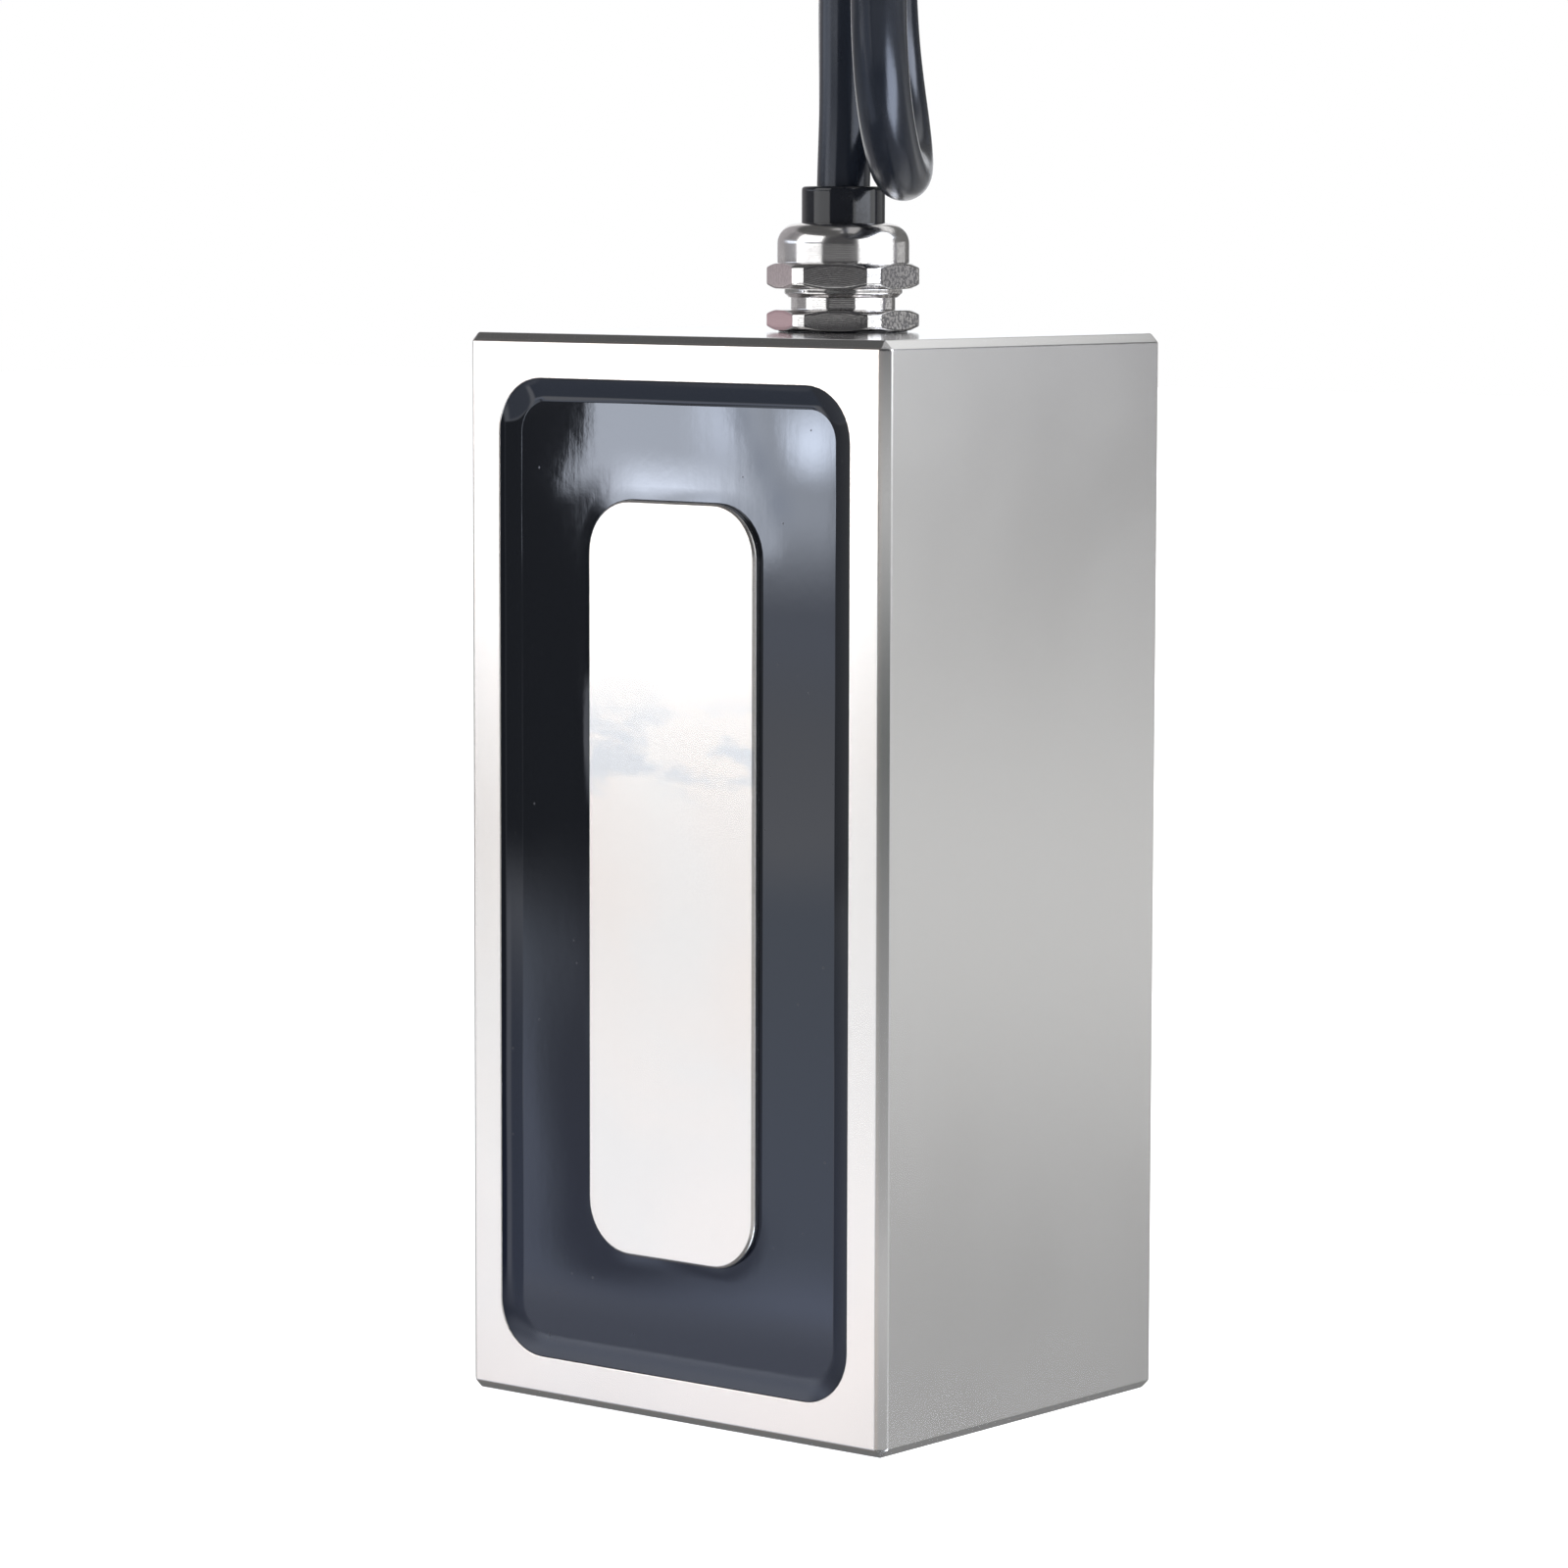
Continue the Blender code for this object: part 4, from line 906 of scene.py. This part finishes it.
blackNylon = mouldedPlastic("black_nylon", (0.014, 0.014, 0.015), (0.03, 0.03, 0.03), 0.38, 0.01, 2.5)
tieBand = place(makeTie(), blackNylon, "black_nylon", "cable_tie")
tieHead, tieStub = makeTieHead()
for item in (tieHead, tieStub):
    place(item, blackNylon, "black_nylon")
redWire = mouldedPlastic("red_wire_insulation", (0.42, 0.012, 0.012), (0.5, 0.03, 0.025), 0.32, 0.008)
whiteWire = mouldedPlastic("white_wire_insulation", (0.76, 0.76, 0.73), (0.68, 0.67, 0.63), 0.34, 0.008)
tinned = strandedTin("tinned_strands")
for name, side, colour, slotName in (("a", -1, redWire, "red_insulation"), ("b", 1, whiteWire, "white_insulation")):
    core, away = makeCore(name, side)
    last = np.array([co for v in core.data.vertices[-24:] for co in v.co]).reshape(-1, 3).mean(0)
    place(core, colour, slotName, "end_core_" + name)
    place(makeTip(name, last, away), tinned, "tinned_copper", "end_tip_" + name)
place(leadPiece, cableSheath("glossy_cable_sheath", cable), "cable_sheath", "cable", "cable_coil", "cable_tail")
leadLine[::4].tolist() + [leadLine[-1].tolist()]
print("cable tie and bare end made")


# finishes of the pieces inside
naturalNylon = mouldedPlastic("natural_nylon", (0.70, 0.68, 0.60), (0.62, 0.60, 0.53), 0.4, 0.01)
paleCard = mouldedPlastic("insulation_card", (0.31, 0.42, 0.37), (0.36, 0.46, 0.41), 0.65, 0.05, 0.6)
insideFinishes = {
    "floor_insulation": paleCard, "coil_bobbin": naturalNylon, "splice_start": naturalNylon,
    "splice_finish": naturalNylon, "gland_claw": naturalNylon, "gland_seal": blackRubber,
    "coil_winding": woundCopper("wound_copper", 0.9), "winding_tape": wovenTape("amber_tape"),
    "winding_lead_start": woundCopper("lead_copper", 40), "winding_lead_finish": woundCopper("lead_copper_far", 40),
    "inner_core_start": redWire, "inner_core_finish": whiteWire,
}
for node, finish in insideFinishes.items():
    nodes[node].data.materials.clear()
    nodes[node].data.materials.append(finish)
print("inner pieces finished")


# studio
studio = {
    "world": 1.0, "worldEnds": 0.45, "horizon": (0.3, 0.7),  # of the way from below to above
    "floor": (0.86, 0.86, 0.865), "floorGlow": 0.7, "floorSize": 6.0,
    "roomRadius": 0.8, "roomCentre": 0.08,  # metres
    "fineAzimuth": (-48, -30), "fineElevation": (-18, 6), "step": (1.0, 0.12),  # degrees
}
# what the polished surfaces mirror, painted over each other on a room round the block: azimuth from and to, elevation
# from and to, softness of the upright and of the level edges, all in degrees, brightness, and a colour if not white
cards = [
    # ceiling, ground, a table before the pole face with two dark ends, and the top face's light
    (-180, 180, 38, 90, 9, 14, 0.45),
    (-180, 180, -90, -34, 9, 8, 0.18),
    (-80, 0, -34, -5, 20, 8, 1.47, (1, 0.972, 0.945)),
    (-31, -4, -36, -9, 4, 4, 0.55, (0.94, 0.99, 1.1)),
    (-112, -50, -34, -8, 7, 4, 0.35, (0.95, 0.98, 1.05)),
    (205, 232, -6, 14, 6, 5, 1.15, (0.97, 0.99, 1.02)),
    # left of the gland, and right of the near chamfer
    (-125, -50, 1.5, 60, 2, 2, 0.42, (1, 0.96, 0.99)),
    (-84, -48, 1.5, 40, 18, 2, 0.26, (1, 0.97, 1)),
    (65, 136, -60, 1, 4, 1, 0.58),
    # the side face, its chamfers and the gland's right-hand flats
    (134, 205, -60, 36, 5, 5, 0.35, (1, 0.99, 0.98)),
    (130, 187, -12, -4.5, 4, 4, 0.68, (1, 0.99, 0.975)),
    (134, 205, 0.5, 36, 5, 3, 0.17, (1, 0.99, 0.98)),
    (134, 205, -60, -33, 4, 4, 0.24),
    (160, 197, 39.8, 60, 3, 4, 0.95),
    (145.6, 175, 1.5, 8, 6, 1, 0.6),
    (137, 145, 1.5, 8, 4, 1, 0.22, (0.97, 0.95, 1.1)),
    # a window to the left and one to the right of the gland, and the streaks on the cable
    (-50, 1, 1.2, 44, 1.2, 1.2, 1.9),
    (-34, 4, 6.4, 13, 8, 1.6, 0.35, (0.95, 1, 1.1)),
    (-80, -34, 6.4, 13, 22, 2.4, 1.5, (0.92, 0.98, 1.1)),
    (66, 137, 1.2, 44, 1.5, 1.2, 1.9, (0.98, 0.99, 1)),
    (98, 142, 24, 47, 10, 8, 5.5, (0.92, 0.97, 1.08)),
    (72, 118, -62, -25, 10, 6, 6.5, (0.9, 0.97, 1.1)),
    (74, 118, 3.35, 5.4, 8, 0.4, 4.2, (0.92, 0.97, 1.08)),
    # the dark room between the windows, and the near chamfer from the top face down
    (1, 66, -50, 62, 2, 2, 0.065, (1, 0.99, 1.04)),
    (-130, 30, 43, 80, 6, 6, 0.1),
    (8, 65, -40, 1.2, 2, 0.5, 0.38),
    (8, 65, -10.2, 1.2, 2, 0.8, 0.27),
    (8, 65, -15.8, -13.8, 2, 1, 0.71, (1, 0.98, 0.98)),
    (8, 65, -7.5, -2.6, 2, 1.2, 0.12, (0.94, 1, 0.99)),
    (8, 65, -2.4, 0.2, 2, 0.9, 0.74),
    # the resin: its upper rim, then its lower half
    (-54, -36, -33, -18.5, 3, 2, 0.42, (0.9, 1, 1.2)),
    (-58, -28, -60, -33, 4, 3, 0.6, (0.92, 0.97, 1.1)),
    (-43, -35.5, -17.5, -8, 1, 2, 1.1, (0.95, 1, 1.06)),
    (-43, -41.7, -17.5, -10, 0.5, 2, 1.2, (0.95, 1, 1.12)),
    (-43, -35.5, -17.5, -15.2, 1, 1.6, 1.5, (0.95, 1, 1.14)),
    (-41.6, -40, -14.6, -6, 1.3, 1, 0.45, (1, 1, 1.05)),
    (-41.2, -37.8, -15.2, -14, 1.2, 1.4, 0.45, (1, 1, 1.05)),
    # the resin: the dark sides, then the bright patches of its top
    (-115, -44.3, -9, 1, 1.2, 2, 0.25),
    (-44.4, -40.6, -8.3, 1.3, 0.5, 2.6, 0.08),
    (-36, 1, -8, 1.2, 0.8, 2, 0.1),
    (-38.2, -36, -4.6, -2.5, 0.9, 2.8, 1.3, (0.97, 1, 1.08)),
    (-41.05, -37.6, -1, 1.4, 0.25, 0.6, 6.8, (0.98, 1, 1.02)),
    (-40.6, -37.6, -2.4, -0.5, 0.4, 0.6, 6.8, (0.98, 1, 1.02)),
    (-38, -36, -2.5, 1.4, 1.2, 1.8, 4.6, (0.98, 1, 1.02)),
    (-40.4, -38.8, -1.75, -0.9, 1.1, 0.8, 14.5, (0.98, 1, 1.03)),
    (-38.6, -38.1, -0.2, 0.7, 0.7, 0.9, 4.2, (0.96, 1, 1.06)),
    (-38.3, -37.8, -1, -0.2, 0.7, 0.8, 4.2, (0.96, 1, 1.06)),
    (-38, -37.4, -1.8, -1, 0.7, 0.8, 4.2, (0.96, 1, 1.06)),
    (-37.2, -36.3, -0.6, 0.5, 1.1, 1.1, 13.5, (0.96, 1, 1.05)),
    (-38.9, -38.5, -0.6, 0.7, 0.5, 1.2, 9.5, (0.97, 1, 1.05)),
    (-48.5, -45.3, -4.5, 1.2, 0.8, 3, 2.4, (0.95, 0.98, 1.05)),
]


def emission(name):
    # glows in the colour painted on the mesh
    made = Nodes(bpy.data.materials.new(name))
    glow = made.node("Emission", {}, {"Color": made.node("Attribute", {"attribute_name": "glow"}, output="Color")})
    made.join(made.tree.nodes["Material Output"].inputs["Surface"], glow)
    made.owner.cycles.emission_sampling = "NONE"
    return made.owner


def makeRoom():
    # a sphere that only reflections see. Each card covers what lies between its edges and fades over their softness
    coarse, fine = studio["step"]

    def spread(low, high, finePart):
        return np.concatenate([np.arange(low, finePart[0], coarse), np.arange(*finePart, fine),
                               np.arange(finePart[1], high, coarse)])

    azimuth = spread(-180, 180, studio["fineAzimuth"])
    elevation = spread(-89.5, 90, studio["fineElevation"])
    e, a = np.meshgrid(elevation, azimuth, indexing="ij")
    glow = np.ones((*a.shape, 3)) * studio["world"]

    def rise(value, edge, softness):
        return smoothStep((value - edge) / softness + 0.5)

    for left, right, low, high, upright, flat, brightness, *tint in cards:
        middle = (left + right) / 2
        offset = np.abs((a - middle + 180) % 360 - 180)
        sides = 1 - rise(offset, (right - left) / 2, upright) if right - left < 360 else np.ones_like(a)
        share = sides * rise(e, low, flat) * (1 - rise(e, high, flat))
        colour = np.array(tint[0] if tint else (1, 1, 1))
        glow += (brightness * colour - glow) * share[..., None]
    a, e = np.radians(a), np.radians(e)
    away = np.stack([np.sin(a) * np.cos(e), -np.cos(a) * np.cos(e), np.sin(e)], -1)
    room = surface("room", away * studio["roomRadius"] + np.array([0, 0, studio["roomCentre"]]))
    paint = room.data.color_attributes.new("glow", "FLOAT_COLOR", "POINT")
    paint.data.foreach_set("color", np.concatenate([glow, np.ones((*a.shape, 1))], -1).ravel())
    room.data.materials.append(emission("room_glow"))
    room.visible_camera = room.visible_diffuse = room.visible_shadow = room.visible_transmission = False


def makeFloor():
    half = studio["floorSize"] / 2
    mesh = bpy.data.meshes.new("floor")
    mesh.from_pydata([(-half, -half, -5e-5), (half, -half, -5e-5), (half, half, -5e-5), (-half, half, -5e-5)], [],
                     [(0, 1, 2, 3)])
    finish = Finish("pale_floor", Roughness=0.9, Base_Color=studio["floor"], Emission_Color=(1.0, 1.0, 1.0),
                    Emission_Strength=studio["floorGlow"])
    mesh.materials.append(finish.owner)
    floor = added("floor", mesh)
    floor.visible_glossy = False


def makeWorld():
    # white round the horizon, greyer straight up and straight down
    made = Nodes(bpy.data.worlds.new("studio"))
    bpy.context.scene.world = made.owner
    height = made.parts(made.node("TexCoord", output="Generated"))[2]
    ramp = made.node("ValToRGB", {}, {0: height * 0.5 + 0.5})
    stops = ramp.socket.node.color_ramp.elements
    for position in studio["horizon"]:
        stops.new(position)
    for stop, grey in zip(stops, (studio["worldEnds"], studio["world"], studio["world"], studio["worldEnds"])):
        stop.color = (grey, grey, grey, 1)
    made.join(made.tree.nodes["Background"].inputs["Color"], ramp)


makeRoom()
makeFloor()
makeWorld()
bpy.context.scene.view_settings.view_transform = "Standard"
print("studio made")
